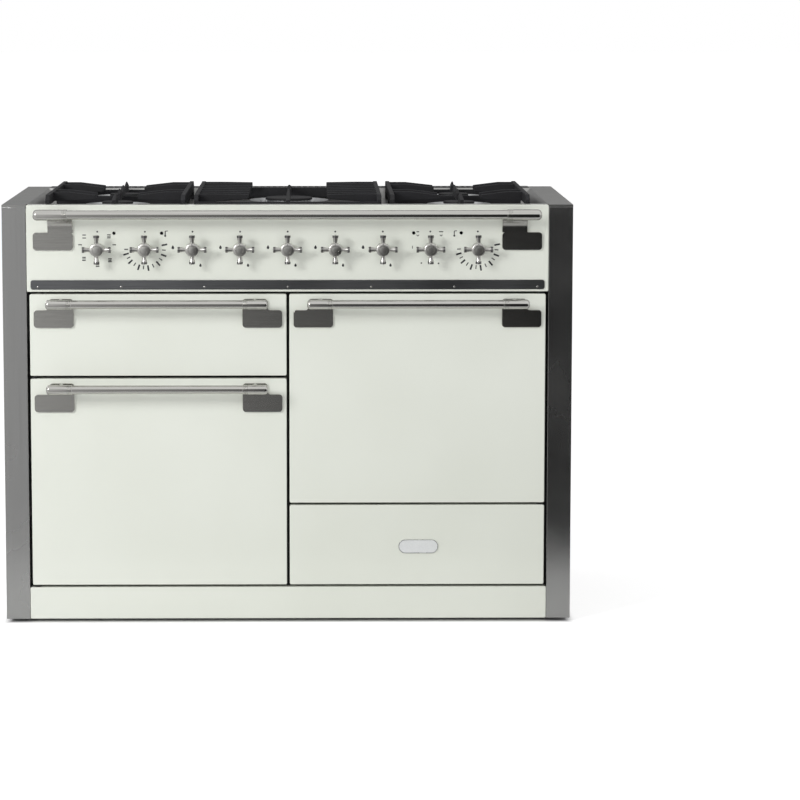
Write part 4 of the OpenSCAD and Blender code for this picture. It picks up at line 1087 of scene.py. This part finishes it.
    def make_camera(self, context, stage):
        """The photograph's viewpoint."""
        data = bpy.data.cameras.new("camera")
        data.lens = stage.focal
        data.sensor_width = SENSOR_MM
        data.shift_x, data.shift_y = CAMERA_SHIFT
        data.clip_end = 200
        eye = put("camera", data)
        eye.location = (stage.camera_side, FRONT_Y - stage.camera_back, stage.camera_height)
        eye.rotation_euler = (math.radians(90) - stage.camera_down, 0, -stage.camera_right)
        context.scene.camera = eye


class COOKER_OT_finishes(bpy.types.Operator):
    """Real finishes on the pieces that the frame gives"""

    bl_idname = "cooker.finishes"
    bl_label = "Finish the cooker's pieces"

    def execute(self, context):
        make_finishes(context.scene.cooker_look)
        for finish_name, nodes in NODE_FINISH.items():
            for node in nodes:
                dress(bpy.data.objects[node], finish_name)
        for k, (node, centre) in enumerate(zip(KNOB_NODES, KNOB_CENTRES)):
            name = f"turned_knob_{k + 1}"
            FINISHES[name] = turned_steel(f"turned_steel_knob_{k + 1}", "#C8C7C3", "#B3B2AE", centre)
            dress(bpy.data.objects[node], name)
        return {"FINISHED"}


class COOKER_PT_panel(bpy.types.Panel):
    """Sizes, colours and the steps that make the cooker"""

    bl_idname = "COOKER_PT_panel"
    bl_label = "Cooker"
    bl_space_type = "VIEW_3D"
    bl_region_type = "UI"
    bl_category = "Cooker"

    def draw(self, context):
        """Every property, then every step."""
        for owner in GROUPS:
            group = getattr(context.scene, owner)
            for name in group.__annotations__:
                self.layout.prop(group, name)
        for operator in OPERATORS:
            self.layout.operator(operator.bl_idname)


GROUPS = {
    "cooker_look": CookerLook,
    "cooker_stage": CookerStage,
    "cooker_rails": RailSizes,
    "cooker_knobs": KnobSizes,
    "cooker_marks": MarkSizes,
}
OPERATORS = (
    COOKER_OT_stage,
    COOKER_OT_finishes,
    COOKER_OT_side_panels,
    COOKER_OT_rails,
    COOKER_OT_knobs,
    COOKER_OT_marks,
    COOKER_OT_strip_screws,
    COOKER_OT_drawer_plate,
    COOKER_OT_pan_supports,
)
CLASSES = (*GROUPS.values(), *OPERATORS, COOKER_PT_panel)


def register():
    """Adds the classes, and the property groups to the scene."""
    for item in CLASSES:
        bpy.utils.register_class(item)
    for name, group in GROUPS.items():
        setattr(bpy.types.Scene, name, bpy.props.PointerProperty(type=group))


def unregister():
    """Takes them away again."""
    for name in GROUPS:
        delattr(bpy.types.Scene, name)
    for item in reversed(CLASSES):
        bpy.utils.unregister_class(item)


def main():
    """Makes everything in order."""
    register()
    for operator in OPERATORS:
        section, step = operator.bl_idname.split(".")
        getattr(getattr(bpy.ops, section), step)()


if __name__ == "__main__":
    main()
